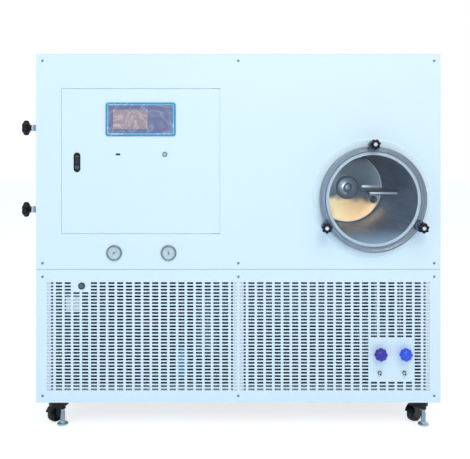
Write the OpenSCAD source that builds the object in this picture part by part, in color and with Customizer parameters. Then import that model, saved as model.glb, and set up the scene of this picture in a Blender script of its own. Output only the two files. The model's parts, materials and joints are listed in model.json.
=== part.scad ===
// Laboratory freeze dryer: a sheet-metal cabinet on casters with a control door, a horizontal vacuum
// chamber, a perforated lower panel and valves. Sizes are in millimetres.
// +Z is up, the front faces -Y and +X is to the right. The origin is on the floor, at the middle of the
// whole object's length and depth.

/* [Cabinet] */
// Width across the side panels
cabinet_w = 1300; // [1080:10:1600]
// Depth from the front face to the rear face
cabinet_d = 750; // [620:5:950]
// Height of the cabinet above its casters
cabinet_h = 1120; // [930:10:1400]
// Height of the cabinet's underside above the floor
caster_h = 84; // [80:1:104]
// Thickness of the painted steel sheets
sheet_t = 1.5; // [1:0.1:2]
// Side of the square frame tube
tube = 40; // [35:1:45]
// Wall of the frame tube
tube_wall = 2; // [1.5:0.5:3]
// Height of the seam between the front panels above the underside
seam_h = 428; // [400:1:470]
// Gap between the two front panels
seam_gap = 2; // [1:0.5:3]

/* [Grille] */
// Length of a ventilation slot
slot_w = 20; // [12:1:22]
// Height of a ventilation slot
slot_h = 6; // [4:0.5:7]
// Spacing of the slot columns
slot_pitch_x = 28.1; // [26:0.1:40]
// Spacing of the slot rows
slot_pitch_z = 10.67; // [9:0.01:14]

/* [Control door] */
// Width of the control door
door_w = 507; // [400:1:620]
// Distance from the cabinet's left side to the door
door_left = 83; // [75:1:110]
// Distance from the seam to the door's lower edge
door_above_seam = 115.5; // [110:0.5:140]
// Distance from the cabinet's top to the door's upper edge
door_below_top = 112; // [80:1:150]
// Gap round the door
door_gap = 1.5; // [1.5:0.5:4]
// Depth of the door's folded edge
door_fold = 18; // [15:1:22]
// Width of the display frame
display_w = 225; // [180:1:230]
// Height of the display frame
display_h = 108; // [90:1:115]

/* [Chamber] */
// Bore radius of the chamber
chamber_r = 140; // [115:1:150]
// Wall of the chamber
chamber_wall = 3; // [2:0.5:5]
// Depth of the chamber behind the front face
chamber_d = 495; // [400:1:500]
// Distance from the cabinet's right side to the chamber's axis
chamber_right = 223; // [215:1:260]
// Height of the chamber's axis above the seam
chamber_above_seam = 228; // [226:1:300]
// Radius of the studs' circle beyond the bore
stud_out = 34; // [32:1:40]
// Radius of a clamp stud
stud_r = 5; // [4:0.5:6]
// Thickness of the clear door
window_t = 12; // [8:1:20]

/* [Knobs and wheels] */
// Radius of a clamp knob
clamp_knob_r = 16; // [12:1:20]
// Radius of a blue drain knob
drain_knob_r = 21.3; // [16:0.1:26]
// Radius of a side valve knob
side_knob_r = 25; // [20:1:30]
// Radius of a gauge's rim
gauge_r = 25; // [20:1:28]
// Radius of a caster wheel
wheel_r = 25; // [22:1:27]
// Width of a caster wheel
wheel_w = 22; // [16:1:24]
// Radius of a levelling foot
foot_r = 17.5; // [14:0.5:20]

/* [Fits] */
// Radial clearance of a running fit
run_gap = 0.1; // [0.05:0.01:0.15]
// Gap between pieces that move past each other
move_gap = 0.3; // [0.3:0.1:0.5]
// Gap between pieces that are seated or welded side by side
seat_gap = 0.2; // [0.1:0.05:0.3]

/* [Hidden] */
$fn = 64;

cut = 1;                    // how far a cutting shape runs past a face
half_w = cabinet_w / 2;
top_z = caster_h + cabinet_h;
seam_z = caster_h + seam_h;

// Frame: rails of the base, the middle and the top, between corner posts
base_rail_d = 60;
mid_rail_h = 60;
in_x = half_w - sheet_t;
in_y0 = sheet_t;
in_y1 = cabinet_d - sheet_t;
base_top = caster_h + tube;
mid_z0 = seam_z - 34;
mid_z1 = mid_z0 + mid_rail_h;
top_rail_z0 = top_z - sheet_t - tube;
corner_w = 46.5;            // width of a corner post
post_w = 34;                // side of the middle post
floor_t = 2;
deck_t = 2;

// Panel screws
screw_r = 2.4;
screw_head_r = 4;
screw_head_h = 2.2;
screw_rim_h = 0.8;
screw_len = 8;
screw_hole_r = screw_r + seat_gap;
recess_l = 3.4;
recess_w = 1;
recess_z = 1;
screw_side = 21;
screw_edge = 22;            // from a front screw to the panel's top or bottom edge
front_screws = [for (x = [-half_w + screw_side, 0, half_w - screw_side])
    for (z = [top_z - screw_edge, seam_z + 20, seam_z - 23.5, caster_h + screw_edge]) [x, z]];
side_screws = [for (y = [in_y0 + tube / 2, in_y1 - tube / 2])
    for (z = [top_z - 70, seam_z + 60, base_top + 30]) [y, z]];
rear_screws = [for (x = [-in_x + tube / 2, in_x - tube / 2])
    for (z = [top_z - 90, seam_z + 80, base_top + 50]) [x, z]];

// Grille
grille_margin = 30;         // sheet left plain at the sides and below
grille_top = seam_z - 44;
grille_cols = floor((cabinet_w - 2 * grille_margin) / slot_pitch_x);
grille_rows = floor((grille_top - caster_h - grille_margin) / slot_pitch_z);
switch_x = -half_w + 147;
switch_z = seam_z - 53;
switch_r = 11;
switch_hole_r = 9;
drain_x = [half_w - 196.5, half_w - 117];
drain_mid = (drain_x[0] + drain_x[1]) / 2;
drain_knob_z = caster_h + 161;
nozzle_drop = 65;
drain_patch_w = 140;
drain_patch_z = [caster_h + 70, caster_h + 210];
neck_r = 7;                 // a drain valve's neck in its hole
stem_r = 4;
stem_out = 26;
nozzle_r = 4.5;
nozzle_bore_r = 2.8;
nozzle_out = 15;
valve_seat_t = 3;
valve_w = 28;
stem_hole_r = neck_r + 0.5;
nozzle_hole_r = nozzle_r + 0.5;
drain_knob_y = 8 + move_gap;

// Control door
door_x0 = -half_w + door_left;
door_x1 = door_x0 + door_w;
door_z0 = seam_z + door_above_seam;
door_z1 = top_z - door_below_top;
hinge_in = 10;              // from the door's side edge to the pin
hinge_back = 5;             // from the front face to the pin
hinge_r = 2;
hinge_collar_r = 3.3;
hinge_x = door_x1 - hinge_in;
hinge_y = hinge_back;
bracket_t = 3;
bracket_w = 24;
bracket_h = 14;
bracket_d = 16;
pin_in = 8;                 // how far a hinge pin reaches into the door
door_lip = 3.5;             // reach of the door's lip behind the panel on the hinge side
keeper_in = 6;              // from the door's edge to the latch's keeper
strip_gap = 0.5;            // from the door's edge to the strip behind the panel
strip_edge = keeper_in - strip_gap;
display_x = door_x0 + door_w / 2;
display_z = door_z1 - 98;
bezel_edge = 9;
bezel_round = 8;
bezel_t = 4;
display_depth = 40;
display_out = 1.4;
chassis_over = 3;           // how far the display's chassis laps behind the door's sheet
usb_x = door_x0 + 180.5;
usb_w = 14;
usb_h = 6;
usb_wall = 1.4;
usb_depth = 14;
usb_out = 0.6;
usb_plate_w = 30;
usb_plate_h = 10;
usb_plate_t = 3;
usb_screw_x = 11;
usb_screw_r = 1.3;
button_x = door_x0 + 331;
fitting_z = door_z1 - 210.5;
latch_x = door_x0 + 49;
latch_z = max(door_z1 - 236, door_z0 + 75);
latch_w = 21.5;
latch_h = 63;
latch_body_w = 17;
latch_body_h = 56;
latch_body_d = 19;
latch_lip = 2.4;
barrel_r = 6.8;
barrel_out = 1.4;
barrel_drop = 16;
cam_y = door_fold + 2;
cam_len = 64;
cam_w = 14;
cam_t = 3;
button_bezel_r = 8;
button_body_r = button_bezel_r - 1.8;
button_cap_r = 5.5;
button_stem_r = 3;
button_rim_h = 2.4;
button_bore_l = 10;
button_body_l = 22;
button_travel = 2.5;
enclosure_margin = 22;
enclosure_d = 180;
keeper_w = 9;
keeper_h = 40;

// Gauges
gauge_x = [-half_w + 251, -half_w + 426];
gauge_z = seam_z + 53;
gauge_case_r = gauge_r - 6;
gauge_depth = 26;
gauge_rim_h = 5.4;
gauge_rim_w = 3;
dial_y = 1.2;
glass_y = 3.8;
glass_t = 1.2;

// Chamber, measured outwards from the front face: out is positive, in is negative
chamber_x = half_w - chamber_right;
chamber_z = seam_z + chamber_above_seam;
flange_out = 30;
flange_t = 20;
flange_r = chamber_r + 27.5;
shell_r = chamber_r + chamber_wall;
stud_circle = chamber_r + stud_out;
clamp_angles = [90, 210, 330];
ear_r = 12;
collar_r = chamber_r + 52;
collar_t = 4.5;
collar_hole_r = chamber_r + 16;
gasket_t = 3;
window_r = chamber_r + 27;
window_out = flange_out + gasket_t;
window_front = window_out + window_t;
shoe_t = 6;
shoe_r = 17;
shoe_in = 6;                // from a stud to its shoe's centre
knob_out = window_front + shoe_t + move_gap;
clamp_knob_t = 20;
pad_r = 11.8;
pad_t = 8;
stud_end = knob_out + clamp_knob_t - 1;
coil_r = 5;
ring_r = shell_r + seat_gap + coil_r;
foam_r0 = ring_r + coil_r + 3;
foam_t = 14;
foam_y = [6, chamber_d - 15];
ring_count = 14;
ring_y0 = 90;
ring_pitch = (chamber_d - 28 - ring_y0) / (ring_count - 1);
saddle_y = [150, 400];
saddle_t = 40;
saddle_w = 240;
saddle_drop = 110;          // from the chamber's axis to a saddle's top
end_plate_r = chamber_r - 4;
end_plate_y = 14;           // from the chamber's end to the plate
hub_r = 16;
bracket_back = 50;          // from the chamber's end to the shelf bracket
bracket_front = 228;        // from the front face to the shelf bracket
bracket_x = 40;

// Lines: tube radii, bends and the places where they run
suction_r = 6;
suction_up = ring_r + 1.5;
liquid_r = 4;
vent_r = 4;
drain_r = 6;
vacuum_r = 14;
vacuum_bore_r = 12.5;
line_bend = 18;
shell_back = chamber_d + chamber_wall;
suction_y = shell_back + 22;
liquid_x = chamber_x - ring_r * sin(30);
liquid_z = chamber_z + ring_r * cos(30);
liquid_y = shell_back + 46;
suction_run_z = mid_z0 - 44;
liquid_run_z = mid_z0 - 69;
vacuum_x = chamber_x + 60;
vacuum_y = shell_back + 45;
vacuum_z = chamber_z - 60;
drain_y = tube + 16;
line_pass = 3;              // clearance round a line where it goes through the deck

// Machinery in the lower compartment
floor_z = base_top + floor_t;
comp_x = -half_w + 300;
comp_y = 270;
comp_r = 85;
comp_top = floor_z + 264;
receiver_x = -half_w + 520;
receiver_y = 400;
receiver_r = 45;
receiver_h = 225;
dryer_x = -half_w + 457;
dryer_y = 120;
dryer_r = 21.5;
dryer_top = floor_z + 94;
cond_w = 380;
cond_h = 250;
cond_t = 44;
cond_x = comp_x;
cond_y0 = cabinet_d - 170;
cond_z0 = floor_z + 8;
fan_r = 110;
fan_ring_r = fan_r + 6;
fan_z = cond_z0 + cond_h / 2;
fan_y = cond_y0 + cond_t + 30;
shroud_d = 50;
motor_r = 38;
shaft_r = 4;
fan_hub_r = 24;
fan_hub_l = 24;
blade_w = 60;
blade_t = 2.4;
pump_z0 = floor_z + 12;
pump_h = 190;
pump_top = pump_z0 + pump_h;
pump_y0 = 250;
pump_len = 340;
pump_motor_r = 62;
exhaust_z = pump_z0 + 130;
exhaust_x = vacuum_x + 30;
port_out = 40;
port_flange_r = 20;
inlet_x = -half_w + 120;
inlet_z = caster_h + 120;

// Side valves
side_valve_y = 80;
side_valve_z = [seam_z + 184, min(seam_z + 456, top_rail_z0 - 20)];
side_bonnet_r = 10.5;
side_bonnet_l = 33;
side_ring_r = 11;
side_ring_t = 5;
side_hole_r = side_bonnet_r + seat_gap;
side_reach = 69;
side_knob_y = side_bonnet_l + side_ring_t + move_gap;
side_knob_t = 22;

// Casters
caster_in_x = 60;
caster_in_y = 46;
caster_xs = [-half_w + caster_in_x, half_w - caster_in_x];
caster_rear_y = cabinet_d - caster_in_y;
caster_turn = [-36, -50];   // how far each front caster is swivelled at rest
plate_t = 4;
plate_w = 68;
pin_r = 6;
front_axle_z = wheel_r + 1;
rear_axle_z = wheel_r;
axle_r = 4;
wheel_off = -18;
stud_off = 20;
foot_stud_r = 6.5;
cap_r = 32;
cap_z1 = caster_h - plate_t - move_gap;
cap_z0 = cap_z1 - 18;
sleeve_r = 9.5;
sleeve_z = cap_z0 - 10;
arm_r = 21;
arm_w = 34;
arm_t = 5.4;
arm_x = wheel_off + wheel_w / 2 + 0.2;
hood_r = wheel_r + 5;
hood_t = 3;
foot_stud_top = cap_z0;

// The whole object's box, which sets the origin
reach_left = side_reach;
reach_right = screw_head_h;
reach_front = knob_out + clamp_knob_t;
reach_rear = port_out;
origin_x = (reach_right - reach_left) / 2;
origin_y = (cabinet_d + reach_rear - reach_front) / 2;

// ---- Placing ----

module placed() translate([-origin_x, -origin_y, 0]) children();

// A frame on the front face: its +Z points out of the cabinet and its +Y points up
module on_front(x, z, y = 0) translate([x, y, z]) rotate([90, 0, 0]) children();

// A frame on the left face: its +Z points out of the cabinet and its +Y points to the rear
module on_left(y, z) translate([-half_w, y, z]) rotate([0, -90, 0]) children();

// A sheet parallel to the front, drawn in X and Z, with its outer face at y
module front_sheet(y = 0, t = sheet_t) translate([0, y + t, 0]) rotate([90, 0, 0])
    linear_extrude(t) children();

// A sheet parallel to the side panels, drawn in Y and Z, from x to x + sheet_t
module side_sheet(x) translate([x, 0, 0]) rotate([90, 0, 90]) linear_extrude(sheet_t) children();

module rect(x0, z0, x1, z1) translate([x0, z0]) square([x1 - x0, z1 - z0]);

// ---- General shapes ----

// A square tube from corner a to corner b, open at the ends of the given axis
module tube_bar(a, b, axis) {
    size = b - a;
    wall = [for (i = [0:2]) i == axis ? -cut : tube_wall];
    difference() {
        translate(a) cube(size);
        translate(a + wall) cube(size - 2 * wall);
    }
}

function unit(v) = v / norm(v);

module frame_on(at, ex, ey) {
    ez = cross(ex, ey);
    multmatrix([
        [ex[0], ey[0], ez[0], at[0]], [ex[1], ey[1], ez[1], at[1]],
        [ex[2], ey[2], ez[2], at[2]], [0, 0, 0, 1]
    ]) children();
}

// A tube along straight runs parallel to the axes, with round bends
module line(points, r, bend = line_bend, bore = 0) {
    n = len(points);
    module section() difference() {
        circle(r);
        if (bore > 0) circle(bore);
    }
    for (i = [0:n - 2]) {
        d = unit(points[i + 1] - points[i]);
        a = points[i] + (i > 0 ? bend : 0) * d;
        b = points[i + 1] - (i < n - 2 ? bend : 0) * d;
        ex = abs(d[2]) > 0.5 ? [1, 0, 0] : [0, 0, 1];
        frame_on(a, ex, cross(d, ex)) linear_extrude(norm(b - a)) section();
    }
    if (n > 2) for (i = [1:n - 2]) {
        d1 = unit(points[i] - points[i - 1]);
        d2 = unit(points[i + 1] - points[i]);
        frame_on(points[i] - bend * d1 + bend * d2, -d2, d1)
            rotate_extrude(angle = 90) translate([bend, 0]) section();
    }
}

// An outline of round lobes round a core
module lobed(r, count, lobe_r) {
    circle(r - 0.72 * lobe_r);
    for (i = [0:count - 1]) rotate(i * 360 / count) translate([r - lobe_r, 0]) circle(lobe_r);
}

// A lobed knob standing on z = 0 with a domed front, a neck and a bore
module knob(r, count, lobe_r, neck_r, neck_l, length, dome, bore, bore_l) {
    difference() {
        union() {
            cylinder(r = neck_r, h = neck_l + cut);
            intersection() {
                translate([0, 0, neck_l]) linear_extrude(length - neck_l) lobed(r, count, lobe_r);
                rotate_extrude() polygon([
                    [0, 0], [r * 0.72, neck_l], [r + cut, neck_l + r * 0.2],
                    [r + cut, length - dome - 1], [r - 1.5, length - dome + 1],
                    [r * 0.6, length - 0.6], [r * 0.3, length], [0, length]
                ]);
            }
        }
        translate([0, 0, -cut]) cylinder(r = bore, h = bore_l + cut);
    }
}

module screw_cuts_front() for (p = front_screws) on_front(p[0], p[1])
    translate([0, 0, -screw_len]) cylinder(r = screw_hole_r, h = screw_len + cut);

module screw_cuts_sides() for (side = [-1, 1]) for (p = side_screws)
    translate([side * half_w, p[0], p[1]]) rotate([0, -side * 90, 0])
        translate([0, 0, -cut]) cylinder(r = screw_hole_r, h = screw_len + cut);

module screw_cuts_rear() for (p = rear_screws) translate([p[0], cabinet_d, p[1]])
    rotate([90, 0, 0]) translate([0, 0, -cut]) cylinder(r = screw_hole_r, h = screw_len + cut);

module frame_cuts() {
    screw_cuts_front();
    screw_cuts_sides();
    screw_cuts_rear();
}

// ---- Frame ----

module frame_rails() color("white") difference() {
    union() {
        for (y = [in_y0, in_y1 - base_rail_d])
            tube_bar([-in_x, y, caster_h], [in_x, y + base_rail_d, base_top], 0);
        for (x = [-in_x, in_x - base_rail_d, -in_x / 3 - tube / 2, in_x / 3 - tube / 2]) {
            w = abs(x) > in_x / 2 ? base_rail_d : tube;
            tube_bar([x, in_y0 + base_rail_d + seat_gap, caster_h],
                [x + w, in_y1 - base_rail_d - seat_gap, base_top], 1);
        }
        for (z = [[mid_z0, mid_z1], [top_rail_z0, top_rail_z0 + tube]]) {
            over = z[0] == mid_z0 ? corner_w + seat_gap : 0;
            for (y = [in_y0, in_y1 - tube])
                tube_bar([-in_x + over, y, z[0]], [in_x - over, y + tube, z[1]], 0);
            for (x = [-in_x, in_x - tube])
                tube_bar([x, in_y0 + tube + seat_gap, z[0]], [x + tube, in_y1 - tube - seat_gap, z[1]], 1);
        }
    }
    frame_cuts();
}

module frame_posts() color("white") difference() {
    union() {
        for (x = [-in_x, in_x - corner_w]) for (y = [in_y0, in_y1 - tube])
            tube_bar([x, y, base_top + seat_gap], [x + corner_w, y + tube, top_rail_z0 - seat_gap], 2);
        tube_bar([-post_w / 2, in_y0, base_top + seat_gap],
            [post_w / 2, in_y0 + post_w, mid_z0 - seat_gap], 2);
    }
    frame_cuts();
}

// A floor sheet between the posts, notched at its corners
module floor_outline(front, rear) difference() {
    rect(-in_x + seat_gap, front, in_x - seat_gap, rear);
    for (x = [-in_x - cut, in_x - corner_w - seat_gap]) for (y = [in_y0 - cut, in_y1 - tube - seat_gap])
        rect(x, y, x + corner_w + cut + seat_gap, y + tube + cut + seat_gap);
}

module base_plate() color("silver") translate([0, 0, base_top + seat_gap])
    linear_extrude(floor_z - base_top - seat_gap)
        floor_outline(in_y0 + post_w + floor_t, in_y1 - seat_gap);

// The deck between the compartments, with its two welded saddles for the chamber
module deck_plate() color("silver") difference() {
    union() {
        translate([0, 0, mid_z1 + seat_gap]) linear_extrude(deck_t)
            floor_outline(in_y0 + seat_gap, in_y1 - seat_gap);
        for (y = saddle_y) translate([chamber_x - saddle_w / 2, y - saddle_t / 2, mid_z1 + seat_gap])
            cube([saddle_w, saddle_t, chamber_z - mid_z1 - saddle_drop]);
    }
    translate([chamber_x, -cut, chamber_z]) rotate([-90, 0, 0])
        cylinder(r = foam_r0 + foam_t + seat_gap, h = cabinet_d);
    for (p = concat([for (x = drain_x) [x, drain_y, drain_r]], [
        [vacuum_x, vacuum_y, vacuum_r], [chamber_x, suction_y, suction_r], [liquid_x, liquid_y, liquid_r]
    ])) translate([p[0], p[1], mid_z1]) cylinder(r = p[2] + line_pass, h = 2 * deck_t);
}

// ---- Sheets ----

module upper_front_panel() color("aliceblue") difference() {
    union() {
        front_sheet() difference() {
            rect(-half_w, seam_z + seam_gap / 2, half_w, top_z - sheet_t - seat_gap);
            rect(door_x0 - door_gap, door_z0 - door_gap, door_x1 + door_gap, door_z1 + door_gap);
        }
        on_front(chamber_x, chamber_z) rotate_extrude() polygon([
            [collar_hole_r, -sheet_t], [collar_r, -sheet_t], [collar_r, 0.8],
            [collar_r - 3, collar_t], [collar_hole_r, collar_t]
        ]);
    }
    on_front(chamber_x, chamber_z) translate([0, 0, -sheet_t - cut])
        cylinder(r = collar_hole_r, h = collar_t + sheet_t + 2 * cut);
    for (x = gauge_x) on_front(x, gauge_z) translate([0, 0, -sheet_t - cut])
        cylinder(r = gauge_case_r + seat_gap, h = sheet_t + 2 * cut);
    screw_cuts_front();
}

// True where a slot of the grille is left out for the switch or for the drain valves
function blank(x, z) =
    (abs(x - switch_x) < 20 && abs(z - switch_z) < 16)
    || (abs(x - drain_mid) < drain_patch_w / 2 && z > drain_patch_z[0] && z < drain_patch_z[1]);

module lower_front_panel() color("aliceblue") front_sheet() difference() {
    rect(-half_w, caster_h, half_w, seam_z - seam_gap / 2);
    for (i = [0:grille_cols - 1]) for (j = [0:grille_rows - 1]) {
        x = (i - (grille_cols - 1) / 2) * slot_pitch_x;
        z = grille_top - j * slot_pitch_z;
        if (!blank(x, z)) rect(x - slot_w / 2, z - slot_h / 2, x + slot_w / 2, z + slot_h / 2);
    }
    translate([switch_x, switch_z]) circle(switch_hole_r + seat_gap);
    for (x = drain_x) {
        translate([x, drain_knob_z]) circle(stem_hole_r);
        translate([x, drain_knob_z - nozzle_drop]) circle(nozzle_hole_r);
    }
    for (p = front_screws) translate(p) circle(screw_hole_r);
}

module side_outline() rect(in_y0 + seat_gap, caster_h, in_y1 - seat_gap, top_z - sheet_t - seat_gap);

module side_panel_left() color("aliceblue") difference() {
    side_sheet(-half_w) side_outline();
    for (z = side_valve_z) on_left(side_valve_y, z) translate([0, 0, -sheet_t - cut])
        cylinder(r = side_hole_r, h = sheet_t + 2 * cut);
    screw_cuts_sides();
}

module side_panel_right() color("aliceblue") difference() {
    side_sheet(half_w - sheet_t) side_outline();
    screw_cuts_sides();
}

module rear_panel() color("aliceblue") difference() {
    front_sheet(in_y1) difference() {
        rect(-half_w, caster_h, half_w, top_z - sheet_t - seat_gap);
        for (i = [-2.5:1:2.5]) for (j = [-8:8])
            translate([cond_x + i * 62, fan_z + j * 14]) square([50, 6], center = true);
        translate([exhaust_x, exhaust_z]) circle(vacuum_r + seat_gap);
        translate([inlet_x, inlet_z]) square([27.5, 20.5], center = true);
    }
    screw_cuts_rear();
}

module top_panel() color("aliceblue") translate([-half_w, 0, top_z - sheet_t])
    cube([cabinet_w, cabinet_d, sheet_t]);

// A pan-head screw with a cross recess, its head's seat at z = 0
module panel_screw() difference() {
    union() {
        rotate_extrude() polygon([
            [0, 0], [screw_head_r, 0], [screw_head_r, screw_rim_h], [screw_head_r - 0.8, 1.7],
            [screw_head_r / 2, screw_head_h], [0, screw_head_h]
        ]);
        translate([0, 0, -screw_len + 0.5]) cylinder(r = screw_r, h = screw_len);
    }
    for (a = [0, 90]) rotate(a) translate([-recess_l / 2, -recess_w / 2, recess_z])
        cube([recess_l, recess_w, screw_head_h]);
}

module cabinet_screws() color("dimgray") {
    for (p = front_screws) on_front(p[0], p[1]) panel_screw();
    for (side = [-1, 1]) for (p = side_screws)
        translate([side * half_w, p[0], p[1]]) rotate([0, side * 90, 0]) panel_screw();
    for (p = rear_screws) translate([p[0], cabinet_d, p[1]]) rotate([-90, 0, 0]) panel_screw();
}

// ---- Control door ----

// Angle bracket with the pin on which the door turns, the opening's upper edge at z = 0
module hinge_bracket() {
    difference() {
        union() {
            translate([-bracket_w / 2, in_y0 + seat_gap, 0]) cube([bracket_w, bracket_d, bracket_t]);
            translate([-bracket_w / 2, in_y0 + seat_gap, 0]) cube([bracket_w, bracket_t, bracket_h]);
        }
        translate([0, hinge_y, -cut]) cylinder(r = hinge_r + seat_gap, h = bracket_t + 2 * cut);
        translate([0, hinge_y, bracket_t]) cylinder(r = hinge_collar_r + seat_gap, h = bracket_h);
    }
    translate([0, hinge_y, 0]) {
        translate([0, 0, -door_gap - pin_in])
            cylinder(r = hinge_r, h = door_gap + pin_in + 2 * bracket_t);
        translate([0, 0, -door_gap + move_gap])
            cylinder(r = hinge_collar_r, h = door_gap - move_gap - seat_gap);
    }
}

// The two brackets behind the upper panel, and the strip that backs the opening on its other sides
module door_hinges() color("aliceblue") {
    translate([hinge_x, 0, door_z1 + door_gap]) hinge_bracket();
    translate([hinge_x, 0, door_z0 - door_gap]) scale([1, 1, -1]) hinge_bracket();
    front_sheet(in_y0 + seat_gap) difference() {
        rect(door_x0 - strip_edge, door_z0 - strip_edge,
            hinge_x - bracket_w / 2 - strip_gap, door_z1 + strip_edge);
        rect(door_x0 - strip_gap, door_z0 - strip_gap, door_x1, door_z1 + strip_gap);
    }
}

module oblong(w, h, t) linear_extrude(t) union() {
    square([w, h - w], center = true);
    for (s = [-1, 1]) translate([0, s * (h - w) / 2]) circle(w / 2);
}

module control_door() color("aliceblue") difference() {
    union() {
        translate([door_x0, 0, door_z0]) difference() {
            cube([door_w, door_fold, door_z1 - door_z0]);
            translate([sheet_t, sheet_t, sheet_t])
                cube([door_w - 2 * sheet_t, door_fold, door_z1 - door_z0 - 2 * sheet_t]);
        }
        translate([door_x1 - sheet_t, in_y0 + move_gap, door_z0])
            cube([sheet_t + door_lip, sheet_t, door_z1 - door_z0]);
    }
    translate([display_x - display_w / 2 + bezel_edge, -cut, display_z - display_h / 2 + bezel_edge])
        cube([display_w - 2 * bezel_edge, door_fold, display_h - 2 * bezel_edge]);
    on_front(latch_x, latch_z) translate([0, 0, -door_fold])
        oblong(latch_body_w + 2 * seat_gap, latch_body_h + 2 * seat_gap, door_fold + cut);
    on_front(button_x, fitting_z) translate([0, 0, -door_fold])
        cylinder(r = button_body_r + seat_gap, h = door_fold + cut);
    translate([usb_x - usb_w / 2 - seat_gap, -cut, fitting_z - usb_h / 2 - seat_gap])
        cube([usb_w + 2 * seat_gap, door_fold, usb_h + 2 * seat_gap]);
    for (s = [-1, 1]) on_front(usb_x + usb_screw_x * s, fitting_z) translate([0, 0, -door_fold])
        cylinder(r = usb_screw_r + seat_gap, h = door_fold + cut);
    translate([hinge_x, hinge_y, door_z0 - cut])
        cylinder(r = hinge_r + run_gap, h = door_z1 - door_z0 + 2 * cut);
}

module display_bezel() color("deepskyblue") on_front(display_x, display_z)
    linear_extrude(bezel_t) difference() {
        union() {
            square([display_w - 2 * bezel_round, display_h], center = true);
            square([display_w, display_h - 2 * bezel_round], center = true);
            for (sx = [-1, 1]) for (sz = [-1, 1])
                translate([sx * (display_w / 2 - bezel_round), sz * (display_h / 2 - bezel_round)])
                    circle(bezel_round);
        }
        square([display_w - 2 * bezel_edge, display_h - 2 * bezel_edge], center = true);
    }

module display_unit() color("slategray") on_front(display_x, display_z) {
    w = display_w - 2 * bezel_edge - 2 * seat_gap;
    h = display_h - 2 * bezel_edge - 2 * seat_gap;
    lap = chassis_over;
    translate([-w / 2, -h / 2, -sheet_t - lap]) cube([w, h, sheet_t + lap + display_out]);
    translate([-w / 2 - lap, -h / 2 - lap, -display_depth])
        cube([w + 2 * lap, h + 2 * lap, display_depth - sheet_t - seat_gap]);
}

module usb_socket() color("darkslategray") on_front(usb_x, fitting_z) {
    shell = [usb_w, usb_h];
    fit = 2 * seat_gap;
    difference() {
        translate([0, 0, -sheet_t - usb_depth]) linear_extrude(sheet_t + usb_depth + usb_out)
            square(shell, center = true);
        translate([0, 0, -usb_depth]) linear_extrude(2 * usb_depth)
            square(shell - 2 * usb_wall * [1, 1], center = true);
    }
    translate([0, 0, -sheet_t - seat_gap - usb_plate_t]) linear_extrude(usb_plate_t) difference() {
        square([usb_plate_w, usb_plate_h], center = true);
        square(shell + fit * [1, 1], center = true);
        for (s = [-1, 1]) translate([usb_screw_x * s, 0]) circle(usb_screw_r + seat_gap);
    }
    for (s = [-1, 1]) translate([usb_screw_x * s, 0, 0]) {
        translate([0, 0, -8]) cylinder(r = usb_screw_r, h = 8.5);
        cylinder(r = usb_screw_r + 0.7, h = 1);
    }
}

module start_button_bezel() color("silver") on_front(button_x, fitting_z) difference() {
    union() {
        rotate_extrude() polygon([
            [0, 0], [button_bezel_r, 0], [button_bezel_r, 1], [button_bezel_r - 1, button_rim_h],
            [0, button_rim_h]
        ]);
        translate([0, 0, -button_body_l]) cylinder(r = button_body_r, h = button_body_l + cut);
    }
    translate([0, 0, -button_bore_l]) cylinder(r = button_cap_r + run_gap, h = 2 * button_bore_l);
    translate([0, 0, -button_body_l - cut]) cylinder(r = button_stem_r, h = button_body_l);
}

module start_button_cap() color("gainsboro") on_front(button_x, fitting_z) {
    seat = -button_bore_l + button_travel + move_gap;
    translate([0, 0, seat]) cylinder(r = button_cap_r, h = button_rim_h - 0.5 - seat);
    translate([0, 0, -button_bore_l - 4]) cylinder(r = button_stem_r - run_gap, h = 8);
}

module latch_case() color("black") on_front(latch_x, latch_z) difference() {
    union() {
        oblong(latch_w, latch_h, latch_lip);
        translate([0, 0, -latch_body_d]) oblong(latch_body_w, latch_body_h, latch_body_d + cut);
    }
    translate([0, -barrel_drop, -latch_body_d - cut])
        cylinder(r = barrel_r + run_gap, h = 2 * latch_body_d);
    translate([0, barrel_drop - 2, latch_lip - 1]) oblong(12, 20, latch_lip);
}

// The key barrel with its cam, which hangs down when unlocked
module latch_barrel() color("lightslategray") on_front(latch_x, latch_z - barrel_drop) difference() {
    union() {
        translate([0, 0, -cam_y - 2 * cam_t]) cylinder(r = barrel_r, h = cam_y + 2 * cam_t + barrel_out);
        translate([-cam_w / 2, -cam_len, -cam_y - cam_t]) cube([cam_w, cam_len, cam_t]);
    }
    translate([-0.8, -4, -6]) cube([1.6, 8, 6 + 2 * barrel_out]);
    translate([0, 0, barrel_out - 0.8]) cylinder(r = barrel_r - 2.2, h = barrel_out);
}

// Sheet enclosure behind the door, open to the front, with the latch's keeper
module control_enclosure() color("gainsboro") {
    x0 = door_x0 - enclosure_margin;
    x1 = door_x1 + enclosure_margin;
    z0 = door_z0 - enclosure_margin;
    z1 = door_z1 + enclosure_margin;
    difference() {
        translate([x0, in_y0 + seat_gap, z0]) cube([x1 - x0, enclosure_d, z1 - z0]);
        translate([x0 + sheet_t, in_y0 - cut, z0 + sheet_t])
            cube([x1 - x0 - 2 * sheet_t, enclosure_d + cut - sheet_t + seat_gap, z1 - z0 - 2 * sheet_t]);
    }
    translate([door_x0 - keeper_w - keeper_in, in_y0 + seat_gap, latch_z - barrel_drop - keeper_h / 2])
        cube([keeper_w, cam_y - in_y0 - seat_gap - move_gap, keeper_h]);
}

// Controller, power supply, contactors and a terminal strip on the enclosure's rear wall, and the
// main switch's junction box behind the lower panel
module control_modules() color("darkgray") {
    back = in_y0 + enclosure_d - sheet_t;
    for (m = [
        [-200, 60, 110, 60, 90], [-70, 60, 70, 50, 90],
        [-200, -60, 45, 55, 75], [-145, -60, 45, 55, 75], [-90, -60, 45, 55, 75],
        [20, -60, 190, 35, 50]
    ]) translate([display_x + m[0], back - m[3], (door_z0 + door_z1) / 2 + m[1] - m[4] / 2])
        cube([m[2], m[3], m[4]]);
    translate([switch_x - 51, sheet_t + seat_gap, switch_z - 80]) cube([45, 30, 45]);
}

// ---- Gauges ----

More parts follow.
